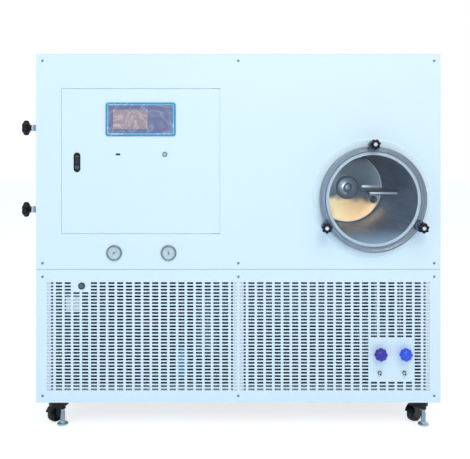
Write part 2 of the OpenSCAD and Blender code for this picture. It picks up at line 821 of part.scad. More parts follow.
module gauge_cases() color("silver") for (x = gauge_x) on_front(x, gauge_z) difference() {
    union() {
        rotate_extrude() polygon([
            [0, 0], [gauge_r, 0], [gauge_r, 3], [gauge_r - 1.4, gauge_rim_h], [0, gauge_rim_h]
        ]);
        translate([0, 0, -gauge_depth]) cylinder(r = gauge_case_r, h = gauge_depth + cut);
        translate([0, 0, -gauge_depth - 14]) cylinder(r = 5, h = 15);
    }
    translate([0, 0, dial_y]) cylinder(r = gauge_r - gauge_rim_w, h = 2 * gauge_rim_h);
}

module gauge_glasses() color("lightcyan") for (x = gauge_x) on_front(x, gauge_z)
    translate([0, 0, glass_y]) cylinder(r = gauge_r - gauge_rim_w - seat_gap, h = glass_t);

// A needle on its own pivot, standing above the dial
module gauge_needle(x, turn) color("black") on_front(x, gauge_z) rotate(turn)
    translate([0, 0, dial_y + move_gap]) {
        cylinder(r = 2, h = 1.6);
        translate([-6, -0.5, 0]) cube([gauge_r - gauge_rim_w, 1, 0.8]);
    }

module gauge_needle_left() gauge_needle(gauge_x[0], 30);
module gauge_needle_right() gauge_needle(gauge_x[1], 100);

// ---- Main switch ----

module main_switch_body() color("black") on_front(switch_x, switch_z) difference() {
    union() {
        rotate_extrude() polygon([
            [0, 0], [switch_r, 0], [switch_r, 2], [switch_r - 1, 3.2], [0, 3.2]
        ]);
        translate([0, 0, -30]) cylinder(r = switch_hole_r, h = 31);
    }
    translate([0, 0, -8]) cylinder(r = switch_hole_r - 1.4 + run_gap, h = 20);
}

module main_switch_cap() color("dimgray") on_front(switch_x, switch_z)
    translate([0, 0, -8 + 3 + move_gap]) cylinder(r = switch_hole_r - 1.4, h = 7.4);

// ---- Chamber ----

// Shell with flange, three ears, welded studs and the flat end, in one weldment
module chamber_shell() color("silver") on_front(chamber_x, chamber_z) difference() {
    union() {
        rotate_extrude() polygon([
            [0, -shell_back], [shell_r, -shell_back], [shell_r, flange_out - flange_t],
            [flange_r, flange_out - flange_t], [flange_r, flange_out - 1.5],
            [flange_r - 1.5, flange_out], [0, flange_out]
        ]);
        for (a = clamp_angles) rotate(a) translate([stud_circle, 0, flange_out - flange_t]) {
            cylinder(r = ear_r, h = flange_t - 2);
            cylinder(r = stud_r, h = stud_end - flange_out + flange_t);
        }
    }
    translate([0, 0, -chamber_d]) cylinder(r = chamber_r, h = chamber_d + flange_out + cut);
}

module chamber_insulation() color("lightyellow") difference() {
    on_front(chamber_x, chamber_z) translate([0, 0, -foam_y[1]]) difference() {
        cylinder(r = foam_r0 + foam_t, h = foam_y[1] - foam_y[0]);
        translate([0, 0, -cut]) cylinder(r = foam_r0, h = foam_y[1] + 2 * cut);
    }
    for (x = drain_x) translate([x, drain_y, mid_z1])
        cylinder(r = drain_r + move_gap, h = chamber_above_seam);
}

// The turned plate at the chamber's far end with its hub, and the folded bracket on the right wall
module cold_plate() color("peru") on_front(chamber_x, chamber_z) {
    back = -chamber_d + seat_gap;
    face = back + end_plate_y;
    length = chamber_d - bracket_back - bracket_front;
    rotate_extrude() polygon([
        [0, back], [20, back], [20, face], [end_plate_r, face], [end_plate_r, face + 7],
        [end_plate_r - 1, face + 8], [45, face + 8], [40, face + 16], [hub_r, face + 20],
        [hub_r, face + 26], [hub_r - 4, face + 28], [0, face + 28]
    ]);
    intersection() {
        translate([bracket_x, 0, 0]) {
            translate([0, -3, -chamber_d + bracket_back]) cube([chamber_r, 4, length]);
            translate([0, -9, -bracket_front - 4]) cube([chamber_r, 10, 4]);
            translate([12, -3, -chamber_d + bracket_back]) cube([70, 14, 3]);
        }
        translate([0, 0, -chamber_d]) cylinder(r = chamber_r - seat_gap, h = chamber_d);
    }
}

module door_window() color("lightcyan") on_front(chamber_x, chamber_z) rotate_extrude() polygon([
    [0, window_out], [window_r, window_out], [window_r, window_front - 1],
    [window_r - 1, window_front], [0, window_front]
]);

module door_gasket() color("whitesmoke") on_front(chamber_x, chamber_z)
    translate([0, 0, flange_out + seat_gap / 2]) difference() {
        cylinder(r = chamber_r + 11, h = gasket_t - seat_gap);
        translate([0, 0, -cut]) cylinder(r = chamber_r + 0.5, h = gasket_t + cut);
    }

// The round shoes that the knobs press on the clear door's edge, each with a heel down to its ear, and the
// rest pad in the middle of the door's inner face
module window_fittings() color("black") on_front(chamber_x, chamber_z) {
    heel = flange_out - 2 + move_gap;
    for (a = clamp_angles) rotate(a) difference() {
        translate([stud_circle - shoe_in, 0, heel]) cylinder(r = shoe_r, h = window_front + shoe_t - heel);
        rotate_extrude() polygon([
            [0, 0], [flange_r + move_gap, 0], [flange_r + move_gap, window_front + seat_gap],
            [0, window_front + seat_gap]
        ]);
        translate([stud_circle, 0, 0]) cylinder(r = stud_r + 0.4, h = 2 * window_front);
    }
    translate([0, 0, window_out - seat_gap - pad_t]) rotate_extrude() polygon([
        [0, 0], [pad_r - 2, 0], [pad_r, 2], [pad_r, pad_t], [0, pad_t]
    ]);
}

module clamp_knob(i) color("black") on_front(chamber_x, chamber_z) rotate(clamp_angles[i])
    translate([stud_circle, 0, knob_out]) rotate(-clamp_angles[i])
        knob(clamp_knob_r, 7, 4.6, 8, 5, clamp_knob_t, 3, stud_r + run_gap, 50);

module clamp_knob_top() clamp_knob(0);
module clamp_knob_left() clamp_knob(1);
module clamp_knob_right() clamp_knob(2);

// ---- Side valves ----

// Valve bodies inside the left panel, with the bonnet, its ring and the spindle outside
module side_valves() color("silver") for (z = side_valve_z) on_left(side_valve_y, z) {
    translate([-16, -14, -46]) cube([32, 28, 40]);
    translate([0, 0, -38]) cylinder(r = side_bonnet_r, h = 38 + side_bonnet_l);
    rotate_extrude() polygon([[0, 0], [15, 0], [15, 2.4], [side_bonnet_r, 3.4], [0, 3.4]]);
    translate([0, 0, side_bonnet_l - cut]) cylinder(r = side_ring_r, h = side_ring_t + cut);
    translate([0, 0, side_bonnet_l]) cylinder(r = stem_r, h = side_reach - side_bonnet_l - 12);
}

module side_knob(i) color("black") on_left(side_valve_y, side_valve_z[i])
    translate([0, 0, side_knob_y]) knob(side_knob_r, 6, 9, 9.5, side_reach - side_knob_y - side_knob_t,
        side_reach - side_knob_y, 5, stem_r + run_gap, side_reach - side_knob_y - 10);

module side_knob_upper() side_knob(1);
module side_knob_lower() side_knob(0);

// ---- Drain valves ----

module drain_valves() color("silver") for (x = drain_x) difference() {
    union() {
        translate([x - valve_w / 2, in_y0 + seat_gap, drain_knob_z - nozzle_drop - valve_w / 2])
            cube([valve_w, drain_y + drain_r + 4 - in_y0, nozzle_drop + valve_w + 2]);
        on_front(x, drain_knob_z) {
            translate([0, 0, -5]) cylinder(r = neck_r, h = 13);
            cylinder(r = neck_r + 4, h = valve_seat_t);
            cylinder(r = stem_r, h = stem_out);
        }
        on_front(x, drain_knob_z - nozzle_drop) {
            translate([0, 0, -5]) cylinder(r = nozzle_r, h = nozzle_out + 5);
            cylinder(r = neck_r, h = valve_seat_t, $fn = 6);
        }
    }
    on_front(x, drain_knob_z - nozzle_drop) translate([0, 0, -30])
        cylinder(r = nozzle_bore_r, h = 30 + nozzle_out + cut);
}

module drain_knob(x, shade) color(shade) on_front(x, drain_knob_z) translate([0, 0, drain_knob_y])
    knob(drain_knob_r, 8, 6.2, neck_r + 4, 6, 30, 5, stem_r + run_gap, stem_out - 6);

module drain_knob_left() drain_knob(drain_x[0], "darkblue");
module drain_knob_right() drain_knob(drain_x[1], "royalblue");

// ---- Machinery ----

// Hermetic compressor on its feet, liquid receiver and filter drier
module compressor_unit() color("dimgray") {
    translate([comp_x, comp_y, floor_z]) {
        for (sx = [-1, 1]) for (sy = [-1, 1]) translate([sx * 75, sy * 55, 0]) cylinder(r = 10, h = 14);
        translate([-95, -75, 13]) cube([190, 150, 5]);
        translate([0, 0, 17]) rotate_extrude() polygon(concat(
            [[0, 0], [comp_r - 20, 0]],
            [for (a = [-75:15:0]) [comp_r - 20 + 20 * cos(a), 20 + 20 * sin(a)]],
            [[comp_r, 125], [comp_r + 3, 127], [comp_r + 3, 133], [comp_r, 135]],
            [for (a = [0:15:75]) [comp_r - 45 + 45 * cos(a), 200 + 45 * sin(a)]],
            [[0, comp_top - floor_z - 17]]
        ));
    }
    translate([receiver_x, receiver_y, floor_z + seat_gap]) rotate_extrude() polygon(concat(
        [[0, 0], [receiver_r, 0], [receiver_r, 8], [receiver_r - 1, 10]],
        [for (a = [0:15:75]) [receiver_r - 16 + 15 * cos(a), receiver_h - 20 + 15 * sin(a)]],
        [[0, receiver_h - seat_gap - 5]]
    ));
    neck = dryer_top - floor_z - seat_gap;
    translate([dryer_x, dryer_y, floor_z + seat_gap]) rotate_extrude() polygon([
        [0, 0], [dryer_r - 3, 0], [dryer_r, 4], [dryer_r, neck - 26], [8, neck - 14], [8, neck], [0, neck]
    ]);
}

// Finned condenser block; the grooves on both faces stand for the fin spacing
module condenser_coil() color("silver") translate([cond_x - cond_w / 2, cond_y0, cond_z0]) difference() {
    translate([0, 0, -cond_z0 + floor_z + seat_gap]) cube([cond_w, cond_t, cond_h + 8 - seat_gap]);
    for (x = [16:10:cond_w - 18]) for (y = [-cut, cond_t - 12])
        translate([x, y, 6]) cube([5, 12 + cut, cond_h - 12]);
}

// Shroud with the fan ring, three arms and the motor with its shaft
module fan_shroud() color("darkgray") translate([cond_x, cond_y0 + cond_t + seat_gap, 0]) {
    z0 = floor_z + seat_gap;
    difference() {
        translate([-cond_w / 2, 0, z0]) cube([cond_w, shroud_d, cond_z0 + cond_h - z0]);
        translate([-cond_w / 2 + 2, -cut, z0 + 2])
            cube([cond_w - 4, shroud_d + cut - 2, cond_z0 + cond_h - z0 - 4]);
        translate([0, 0, fan_z]) rotate([-90, 0, 0]) cylinder(r = fan_ring_r, h = 100);
    }
    translate([0, shroud_d + seat_gap, fan_z]) rotate([-90, 0, 0]) {
        for (a = [30, 150, 270]) rotate(a) translate([motor_r - 6, -8, 0])
            cube([fan_ring_r - motor_r + 26, 16, 3]);
        difference() {
            cylinder(r = motor_r, h = 3);
            translate([0, 0, -cut]) cylinder(r = 12 + seat_gap, h = 5);
        }
        translate([0, 0, 3 + seat_gap]) cylinder(r = motor_r, h = 34);
        translate([0, 0, -2]) cylinder(r = 12, h = 6);
        translate([0, 0, -34]) cylinder(r = shaft_r, h = 38);
    }
}

module fan() color("dimgray") translate([cond_x, fan_y, fan_z]) rotate([-90, 0, 0]) difference() {
    union() {
        cylinder(r = fan_hub_r, h = fan_hub_l, center = true);
        intersection() {
            union() for (a = [0:72:288]) rotate(a) translate([20, 0, 0]) rotate([28, 0, 0])
                translate([0, -blade_w / 2, -blade_t / 2]) cube([fan_r, blade_w, blade_t]);
            cylinder(r = fan_r, h = 1.5 * fan_hub_l, center = true);
        }
    }
    cylinder(r = shaft_r + run_gap, h = 2 * fan_hub_l, center = true);
}

module vacuum_pump() color("lightsteelblue") translate([vacuum_x, 0, 0]) {
    for (sx = [-1, 1]) for (y = [pump_y0 + 30, pump_y0 + pump_len - 30])
        translate([sx * 50, y, floor_z + seat_gap]) cylinder(r = 12, h = 14);
    translate([-68, pump_y0, pump_z0]) cube([136, pump_len, 12]);
    translate([-pump_motor_r, pump_y0 + 180, pump_z0 + 11])
        cube([2 * pump_motor_r, pump_len - 185, pump_h - 11]);
    translate([0, pump_y0 + 10, pump_z0 + 92]) rotate([-90, 0, 0])
        cylinder(r = pump_motor_r, h = 172);
    translate([-40, pump_y0 + 20, pump_z0 + 11]) cube([80, 150, 40]);
}

// Evaporator rings round the chamber with their headers, and the lines to the machinery, brazed together
module refrigerant_circuit() color("peru") {
    for (i = [0:ring_count - 1]) on_front(chamber_x, chamber_z, ring_y0 + i * ring_pitch)
        rotate_extrude() translate([ring_r, 0]) circle(coil_r);
    line([
        [chamber_x, ring_y0, chamber_z + suction_up], [chamber_x, suction_y, chamber_z + suction_up],
        [chamber_x, suction_y, suction_run_z], [comp_x, suction_y, suction_run_z],
        [comp_x, comp_y, suction_run_z], [comp_x, comp_y, comp_top + seat_gap]
    ], suction_r);
    line([
        [liquid_x, ring_y0, liquid_z], [liquid_x, liquid_y, liquid_z],
        [liquid_x, liquid_y, liquid_run_z], [dryer_x, liquid_y, liquid_run_z],
        [dryer_x, dryer_y, liquid_run_z], [dryer_x, dryer_y, dryer_top + seat_gap]
    ], liquid_r);
    line([
        [comp_x + 50, comp_y, comp_top - 3 + seat_gap], [comp_x + 50, comp_y, liquid_run_z],
        [comp_x + 50, cond_y0 + cond_t / 2, liquid_run_z],
        [comp_x + 50, cond_y0 + cond_t / 2, cond_z0 + cond_h + seat_gap]
    ], liquid_r);
    line([
        [cond_x + cond_w / 2 + seat_gap, cond_y0 + cond_t / 2, floor_z + 60],
        [receiver_x, cond_y0 + cond_t / 2, floor_z + 60],
        [receiver_x, receiver_y + receiver_r - 0.5 + seat_gap, floor_z + 60]
    ], liquid_r);
}

// Vacuum, exhaust, vent and drain lines
module process_lines() color("silver") difference() {
    union() {
        line([
            [vacuum_x, shell_back + seat_gap, vacuum_z], [vacuum_x, vacuum_y, vacuum_z],
            [vacuum_x, vacuum_y, pump_top + seat_gap]
        ], vacuum_r, 30, vacuum_bore_r);
        line([
            [exhaust_x, pump_y0 + pump_len + seat_gap - 5, exhaust_z],
            [exhaust_x, cabinet_d + port_out, exhaust_z]
        ], vacuum_r, 30, vacuum_bore_r);
        translate([exhaust_x, cabinet_d + port_out, exhaust_z]) rotate([90, 0, 0]) difference() {
            rotate_extrude() polygon([
                [vacuum_r - 0.5, 0], [port_flange_r, 0], [port_flange_r, 3], [vacuum_r - 0.5, 4.6]
            ]);
        }
        for (i = [0, 1]) {
            run_y = shell_back + 58 + 16 * i;
            end_x = chamber_x - 40 - 72 * (1 - i);
            end_z = i ? chamber_z + 60 : side_valve_z[0];
            start = [-half_w + 30, side_valve_y + 14 + seat_gap, side_valve_z[i]];
            line(i ? [
                start, [start[0], run_y, start[2]], [end_x, run_y, start[2]],
                [end_x, run_y, end_z], [end_x, shell_back + seat_gap, end_z]
            ] : [
                start, [start[0], run_y, start[2]], [end_x, run_y, start[2]],
                [end_x, shell_back + seat_gap, end_z]
            ], vent_r, 12);
        }
        for (x = drain_x) line([
            [x, drain_y, drain_knob_z + 16 + seat_gap], [x, drain_y, chamber_z - 40]
        ], drain_r, 10, drain_r - 1);
    }
    on_front(chamber_x, chamber_z) translate([0, 0, -shell_back + cut])
        cylinder(r = shell_r + seat_gap, h = shell_back);
}

module power_inlet() color("black") translate([inlet_x, 0, inlet_z]) difference() {
    union() {
        translate([-25, cabinet_d + seat_gap, -16]) cube([50, 3, 32]);
        translate([-13.5, cabinet_d - 25, -10]) cube([27, 27, 20]);
    }
    translate([-11, cabinet_d - 16, -7]) cube([22, 40, 14]);
    for (x = [-6, 0, 6]) translate([x - 1, cabinet_d - 30, -2]) cube([2, 16, 4]);
}

// ---- Casters ----

module caster_plate() translate([-plate_w / 2, -plate_w / 2, caster_h - plate_t])
    cube([plate_w, plate_w, plate_t - seat_gap]);

// A frame on a front caster's swivel axis, turned as the caster stands
module on_caster(i) translate([caster_xs[i], caster_in_y, 0]) rotate(caster_turn[i]) children();

// The front swivel plates with their pins, and the rigid rear brackets with their axles
module caster_mounts() color("silver") for (x = caster_xs) {
    translate([x, caster_in_y, 0]) {
        caster_plate();
        translate([0, 0, cap_z0 - 3]) cylinder(r = pin_r, h = caster_h - plate_t - cap_z0 + 4);
    }
    translate([x, caster_rear_y, 0]) {
        caster_plate();
        for (side = [-1, 1]) hull() {
            ear_x = side * (wheel_w / 2 + 3) - 1.5;
            translate([ear_x, -20, caster_h - plate_t - 1]) cube([3, 40, 2]);
            translate([ear_x, 0, rear_axle_z]) rotate([0, 90, 0]) cylinder(r = 9, h = 3, $fn = 32);
        }
        translate([-wheel_w / 2 - 3, 0, rear_axle_z]) rotate([0, 90, 0])
            cylinder(r = axle_r, h = wheel_w + 6);
    }
}

// The swivelling body: cap, side plate with the wheel's axle, hood over the wheel, and the stud's sleeve
module caster_fork(i) color("black") on_caster(i) {
    outer_x = wheel_off - wheel_w / 2 - hood_t;
    difference() {
        union() {
            translate([0, 0, cap_z0]) cylinder(r = cap_r, h = cap_z1 - cap_z0);
            translate([arm_x, -arm_w / 2, front_axle_z]) cube([arm_t, arm_w, cap_z0 + 1 - front_axle_z]);
            translate([0, 0, front_axle_z]) rotate([0, 90, 0]) {
                translate([0, 0, arm_x]) cylinder(r = arm_r, h = arm_t);
                translate([0, 0, outer_x + 1]) cylinder(r = axle_r, h = arm_x - outer_x);
                rotate(110) rotate_extrude(angle = 140) polygon([
                    [10, outer_x], [hood_r, outer_x], [hood_r, arm_x + 1], [hood_r - hood_t, arm_x + 1],
                    [hood_r - hood_t, outer_x + hood_t - 0.8], [10, outer_x + hood_t - 0.8]
                ]);
            }
            translate([stud_off, 0, sleeve_z]) cylinder(r = sleeve_r, h = cap_z0 + 1 - sleeve_z);
        }
        translate([0, 0, sleeve_z]) cylinder(r = pin_r + run_gap, h = caster_h);
        translate([stud_off, 0, 0]) cylinder(r = foot_stud_r + run_gap, h = caster_h);
    }
}

module caster_fork_left() caster_fork(0);
module caster_fork_right() caster_fork(1);

// A wheel with its centre at the origin and its axle along X
module caster_wheel() color("dimgray") rotate([0, 90, 0]) rotate_extrude() polygon([
    [axle_r + run_gap, -wheel_w / 2 + 1], [wheel_r - 6, -wheel_w / 2 + 1],
    [wheel_r - 5, -wheel_w / 2 + 0.4], [wheel_r - 2, -wheel_w / 2 + 0.4], [wheel_r, -wheel_w / 2 + 3],
    [wheel_r, wheel_w / 2 - 3], [wheel_r - 2, wheel_w / 2 - 0.4], [wheel_r - 5, wheel_w / 2 - 0.4],
    [wheel_r - 6, wheel_w / 2 - 1], [axle_r + run_gap, wheel_w / 2 - 1]
]);

module front_wheel(i) on_caster(i) translate([wheel_off, 0, front_axle_z]) caster_wheel();
module rear_wheel(i) translate([caster_xs[i], caster_rear_y, rear_axle_z]) caster_wheel();

module caster_wheel_front_left() front_wheel(0);
module caster_wheel_front_right() front_wheel(1);
module caster_wheel_rear_left() rear_wheel(0);
module caster_wheel_rear_right() rear_wheel(1);

module caster_foot(i) color("silver") on_caster(i) translate([stud_off, 0, 0]) {
    rotate_extrude() polygon([
        [0, 0], [foot_r - 1, 0], [foot_r, 1], [foot_r, 4], [foot_r - 3, 6], [foot_stud_r + 1, 8],
        [foot_stud_r, 10], [0, 10]
    ]);
    cylinder(r = foot_stud_r, h = foot_stud_top);
}

module caster_foot_left() caster_foot(0);
module caster_foot_right() caster_foot(1);

// ---- Nodes ----

placed() frame_rails();
placed() frame_posts();
placed() base_plate();
placed() deck_plate();
placed() upper_front_panel();
placed() lower_front_panel();
placed() side_panel_left();
placed() side_panel_right();
placed() rear_panel();
placed() top_panel();
placed() cabinet_screws();
placed() door_hinges();
placed() control_enclosure();
placed() control_modules();
placed() gauge_cases();
placed() gauge_glasses();
placed() main_switch_body();
placed() chamber_shell();
placed() chamber_insulation();
placed() cold_plate();
placed() side_valves();
placed() drain_valves();
placed() compressor_unit();
placed() condenser_coil();
placed() fan_shroud();
placed() vacuum_pump();
placed() refrigerant_circuit();
placed() process_lines();
placed() power_inlet();
placed() caster_mounts();
placed() control_door();
placed() display_bezel();
placed() display_unit();
placed() usb_socket();
placed() start_button_bezel();
placed() latch_case();
placed() start_button_cap();
placed() latch_barrel();
placed() gauge_needle_left();
placed() gauge_needle_right();
placed() main_switch_cap();
placed() door_window();
placed() door_gasket();
placed() window_fittings();
placed() clamp_knob_top();
placed() clamp_knob_left();
placed() clamp_knob_right();
placed() side_knob_upper();
placed() side_knob_lower();
placed() drain_knob_left();
placed() drain_knob_right();
placed() fan();
placed() caster_fork_left();
placed() caster_fork_right();
placed() caster_wheel_front_left();
placed() caster_wheel_front_right();
placed() caster_wheel_rear_left();
placed() caster_wheel_rear_right();
placed() caster_foot_left();
placed() caster_foot_right();
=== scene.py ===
import json
import math
from collections import namedtuple

import bmesh
import bpy
from bpy.props import FloatProperty, FloatVectorProperty, IntProperty, PointerProperty, StringProperty
from bpy.types import Operator, Panel, PropertyGroup
from mathutils import Matrix, Vector


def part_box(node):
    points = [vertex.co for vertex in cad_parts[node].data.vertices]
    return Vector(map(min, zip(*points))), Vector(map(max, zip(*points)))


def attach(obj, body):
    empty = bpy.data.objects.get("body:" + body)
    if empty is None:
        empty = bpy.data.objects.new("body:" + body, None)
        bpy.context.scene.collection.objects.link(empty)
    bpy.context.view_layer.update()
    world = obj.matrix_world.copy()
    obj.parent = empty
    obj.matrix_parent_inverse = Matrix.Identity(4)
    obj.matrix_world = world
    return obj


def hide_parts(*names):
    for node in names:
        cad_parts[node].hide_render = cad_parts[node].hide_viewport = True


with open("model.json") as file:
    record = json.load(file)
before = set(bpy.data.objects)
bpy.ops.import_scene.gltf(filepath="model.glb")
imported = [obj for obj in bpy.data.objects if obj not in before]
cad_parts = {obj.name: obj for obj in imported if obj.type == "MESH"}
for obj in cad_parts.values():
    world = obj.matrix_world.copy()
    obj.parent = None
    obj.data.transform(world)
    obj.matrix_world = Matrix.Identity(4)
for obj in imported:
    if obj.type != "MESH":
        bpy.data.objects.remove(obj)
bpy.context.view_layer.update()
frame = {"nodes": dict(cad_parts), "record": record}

bl_info = {
    "name": "Laboratory Freeze Dryer",
    "version": (1, 0, 0),
    "blender": (4, 5, 0),
    "location": "View3D > Sidebar > Freeze Dryer",
    "description": "Gives a freeze dryer its finishes, its turned and moulded details and a studio",
    "category": "Object",
}

MM = 0.001
PER_MM = (1 / MM,) * 3      # stretches a texture's coordinates from metres to millimetres
# A wave pattern's scale is this over its size in metres. A wave repeats at pi / 10 over the scale, so
# this number is too low: the marks come out 2 pi times as coarse as the sizes given for them.
WAVE = 0.05

# Planes and axes of the cabinet, read from its own pieces
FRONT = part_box("lower_front_panel")[0][1]
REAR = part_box("rear_panel")[1][1]
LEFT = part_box("side_panel_left")[0][0]
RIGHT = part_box("side_panel_right")[1][0]
MIDDLE = (LEFT + RIGHT) / 2
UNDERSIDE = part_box("lower_front_panel")[0][2]
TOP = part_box("top_panel")[1][2]
SEAM = (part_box("lower_front_panel")[1][2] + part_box("upper_front_panel")[0][2]) / 2


def middle(node):
    """The middle of a CAD node's box."""
    low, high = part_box(node)
    return (Vector(low) + Vector(high)) / 2


def span(node):
    """The sides of a CAD node's box, in metres."""
    low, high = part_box(node)
    return Vector(high) - Vector(low)


# The chamber's axis, its bore and depth, and the three studs that hold its clear door, in millimetres
CHAMBER = middle("door_window")
BORE, WALL, DEEP = 140, 3, 495
FLANGE_OUT = 30
STUD_CIRCLE = 174
STUDS = (("top", 90), ("left", 210), ("right", 330))


def facing_front(x, z, y=FRONT):
    """Millimetres with Z out of the front face and Y up."""
    return Matrix.Translation((x, y, z)) @ Matrix.Rotation(math.pi / 2, 4, "X") @ Matrix.Scale(MM, 4)


def facing_left(y, z, x=LEFT):
    """Millimetres with Z out of the left face and Y to the rear."""
    return Matrix.Translation((x, y, z)) @ Matrix.Rotation(-math.pi / 2, 4, "Y") @ Matrix.Scale(MM, 4)


def upright(x, y, z):
    """Millimetres with Z up."""
    return Matrix.Translation((x, y, z)) @ Matrix.Scale(MM, 4)


# ---- Colours, sizes and the studio's settings ----

def linear(shade):
    """An sRGB hex code as linear RGBA; a number gives a grey, and a list is linear already."""
    if isinstance(shade, float):
        return [shade] * 3 + [1.0]
    if not isinstance(shade, str):
        return list(shade)
    parts = [int(shade[i:i + 2], 16) / 255 for i in (1, 3, 5)]
    return [p / 12.92 if p <= 0.04045 else ((p + 0.055) / 1.055) ** 2.4 for p in parts] + [1.0]


def colour(name, code, words):
    return FloatVectorProperty(
        name=name, description=words, subtype="COLOR", size=4, min=0, max=1, default=linear(code))


class DryerColours(PropertyGroup):
    cabinet: colour("Cabinet", "#dff4fd", "Powder coat of the cabinet's sheets")
    frame: colour("Frame", "#dfe8ef", "Powder coat of the tube frame")
    display_frame: colour("Display frame", "#3a9bca", "Blue frame round the display")
    display_face: colour("Display face", "#7480a2", "Printed face round the screen")
    screen: colour("Screen", "#a89a9e", "The unlit screen under its protective film")
    drain_left: colour("Left drain knob", "#3226a4", "Moulded knob of the left drain valve")
    drain_right: colour("Right drain knob", "#2550e0", "Moulded knob of the right drain valve")
    # The warm colour is a painted reflection on the cold plate's lower half
    painted_warm_reflection: colour("Warm tint", "#f7d8a6", "Copper-gold sheen on the cold plate's lower half")


class DryerSizes(PropertyGroup):
    fin_pitch: FloatProperty(
        name="Fin pitch", description="Spacing of the condenser's fins, drawn coarse",
        default=5 * MM, min=2 * MM, unit="LENGTH")
    dial_marks: IntProperty(
        name="Dial marks", description="Marks on each gauge's scale", default=31, min=5)
    pump_ribs: IntProperty(
        name="Pump ribs", description="Cooling ribs round the pump's motor", default=36, min=8)
    tread_blocks: IntProperty(
        name="Tread grooves", description="Ribs across each caster wheel", default=40, min=8)


class DryerStudio(PropertyGroup):
    distance: FloatProperty(
        name="Distance", description="Camera to the cabinet's front", default=2.0, min=0.5, unit="LENGTH")
    height: FloatProperty(
        name="Height", description="Camera above the floor", default=0.927, min=0, unit="LENGTH")
    aside: FloatProperty(
        name="Aside", description="Camera to the right of the cabinet's middle",
        default=0.021, unit="LENGTH")
    lens: FloatProperty(
        name="Lens", description="Focal length of the camera", default=47.7, min=10, unit="CAMERA")
    key: FloatProperty(name="Key light", description="Power of the main lamp", default=55, min=0)
    fill: FloatProperty(name="Fill light", description="Power of the cool fill lamp", default=9, min=0)
    back: FloatProperty(name="Back light", description="Power of the lamp behind", default=42, min=0)
    low: FloatProperty(name="Low light", description="Power of the cool low lamp", default=4, min=0)
    spot: FloatProperty(
        name="Chamber light", description="Power of the narrow lamp into the chamber", default=470, min=0)
    sky: FloatProperty(name="Sky", description="Strength of the even light", default=0.68, min=0)


def settings():
    return bpy.context.scene.freeze_dryer


# ---- Materials ----

def add(tree, kind, values=None, links=None, stops=(), **attributes):
    """Adds a node with its attributes, its input values, its links and a colour ramp's stops."""
    node = tree.nodes.new(kind)
    for key, value in attributes.items():
        setattr(node, key, value)
    for key, value in (values or {}).items():
        node.inputs[key].default_value = value
    for key, source in (links or {}).items():
        tree.links.new(source, node.inputs[key])
    if stops:
        band = node.color_ramp.elements
        while len(band) < len(stops):
            band.new(0.5)
        for element, (place, shade) in zip(band, stops):
            element.position, element.color = place, linear(shade)
    return node


def plain(name, base, roughness, metallic=0.0, gloss=0.5):
    """A material without a pattern; returns it with its node tree and its shader."""
    made = bpy.data.materials.new(name)
    made.use_nodes = True
    shader = made.node_tree.nodes["Principled BSDF"]
    values = {"Base Color": linear(base), "Roughness": roughness, "Metallic": metallic,
              "Specular IOR Level": gloss}
    for key, value in values.items():
        shader.inputs[key].default_value = value
    made.diffuse_color = linear(base)
    return made, made.node_tree, shader


def on_piece(tree, centre=(0, 0, 0), scale=(1, 1, 1)):
    """A point on the piece, measured from a centre and stretched by scale."""
    place = add(tree, "ShaderNodeTexCoord")
    return add(
        tree, "ShaderNodeMapping",
        {"Location": [-c * s for c, s in zip(centre, scale)], "Scale": scale},
        {"Vector": place.outputs["Object"]}).outputs["Vector"]


Coat = namedtuple("Coat", "material tree shader point pattern")


def patterned(name, base, roughness, metallic=0.0, gloss=0.5, kind="Noise", values=None,
              centre=(0, 0, 0), scale=(1, 1, 1), spread=(), at=(0.35, 0.65), relief=0.0, **choices):
    """A material with one pattern on it.

    The pattern's values between the two of at move the roughness over spread, from the first to the
    second, and the pattern stands relief millimetres proud of the surface.
    """
    made, tree, shader = plain(name, base, roughness, metallic, gloss)
    point = on_piece(tree, centre, scale)
    texture = add(tree, "ShaderNodeTex" + kind, values, {"Vector": point}, **choices)
    pattern = texture.outputs["Color" if kind == "Voronoi" else "Fac"]
    if spread:
        blend = add(tree, "ShaderNodeValToRGB", None, {"Fac": pattern}, list(zip(at, spread)))
        tree.links.new(blend.outputs["Color"], shader.inputs["Roughness"])
    if relief:
        bump = add(tree, "ShaderNodeBump", {"Distance": relief * MM}, {"Height": pattern})
        tree.links.new(bump.outputs["Normal"], shader.inputs["Normal"])
    return Coat(made, tree, shader, point, pattern)


def powder_coat(name, base, roughness=0.42):
    """Baked powder or enamel on steel: an even satin with a faint orange peel 2 mm across."""
    return patterned(
        name, base, roughness, values={"Scale": 1 / (2 * MM), "Detail": 2.0}, relief=0.03)


def brushed(name, base, roughness, grain, metallic=1.0):
    """Brushed stainless steel: hairlines 0.4 mm apart, long in the direction where grain is small.

    They are too fine to be seen singly in a view of the whole piece, and only soften its gloss.
    """
    return patterned(
        name, base, roughness, metallic, values={"Scale": 1 / (0.4 * MM), "Detail": 3.0}, scale=grain,
        spread=(max(roughness - 0.1, 0.05), roughness + 0.12), relief=0.02)


def turned_metal(name, base, roughness, centre, ring=0.8, metallic=1.0):
    """Metal faced on a lathe: a soft sheen in rings about the piece's axis, front to back.

    ring is a size in millimetres, but the rings lie 2 pi times as far apart, as said at WAVE.
    """
    return patterned(
        name, base, roughness, metallic, kind="Wave",
        values={"Scale": WAVE / (ring * MM), "Distortion": 0.6, "Detail": 2.0, "Detail Scale": 1.5},
        centre=centre, spread=(roughness - 0.06, roughness + 0.08), at=(0.2, 0.8), relief=0.015,
        wave_type="RINGS", rings_direction="Y")


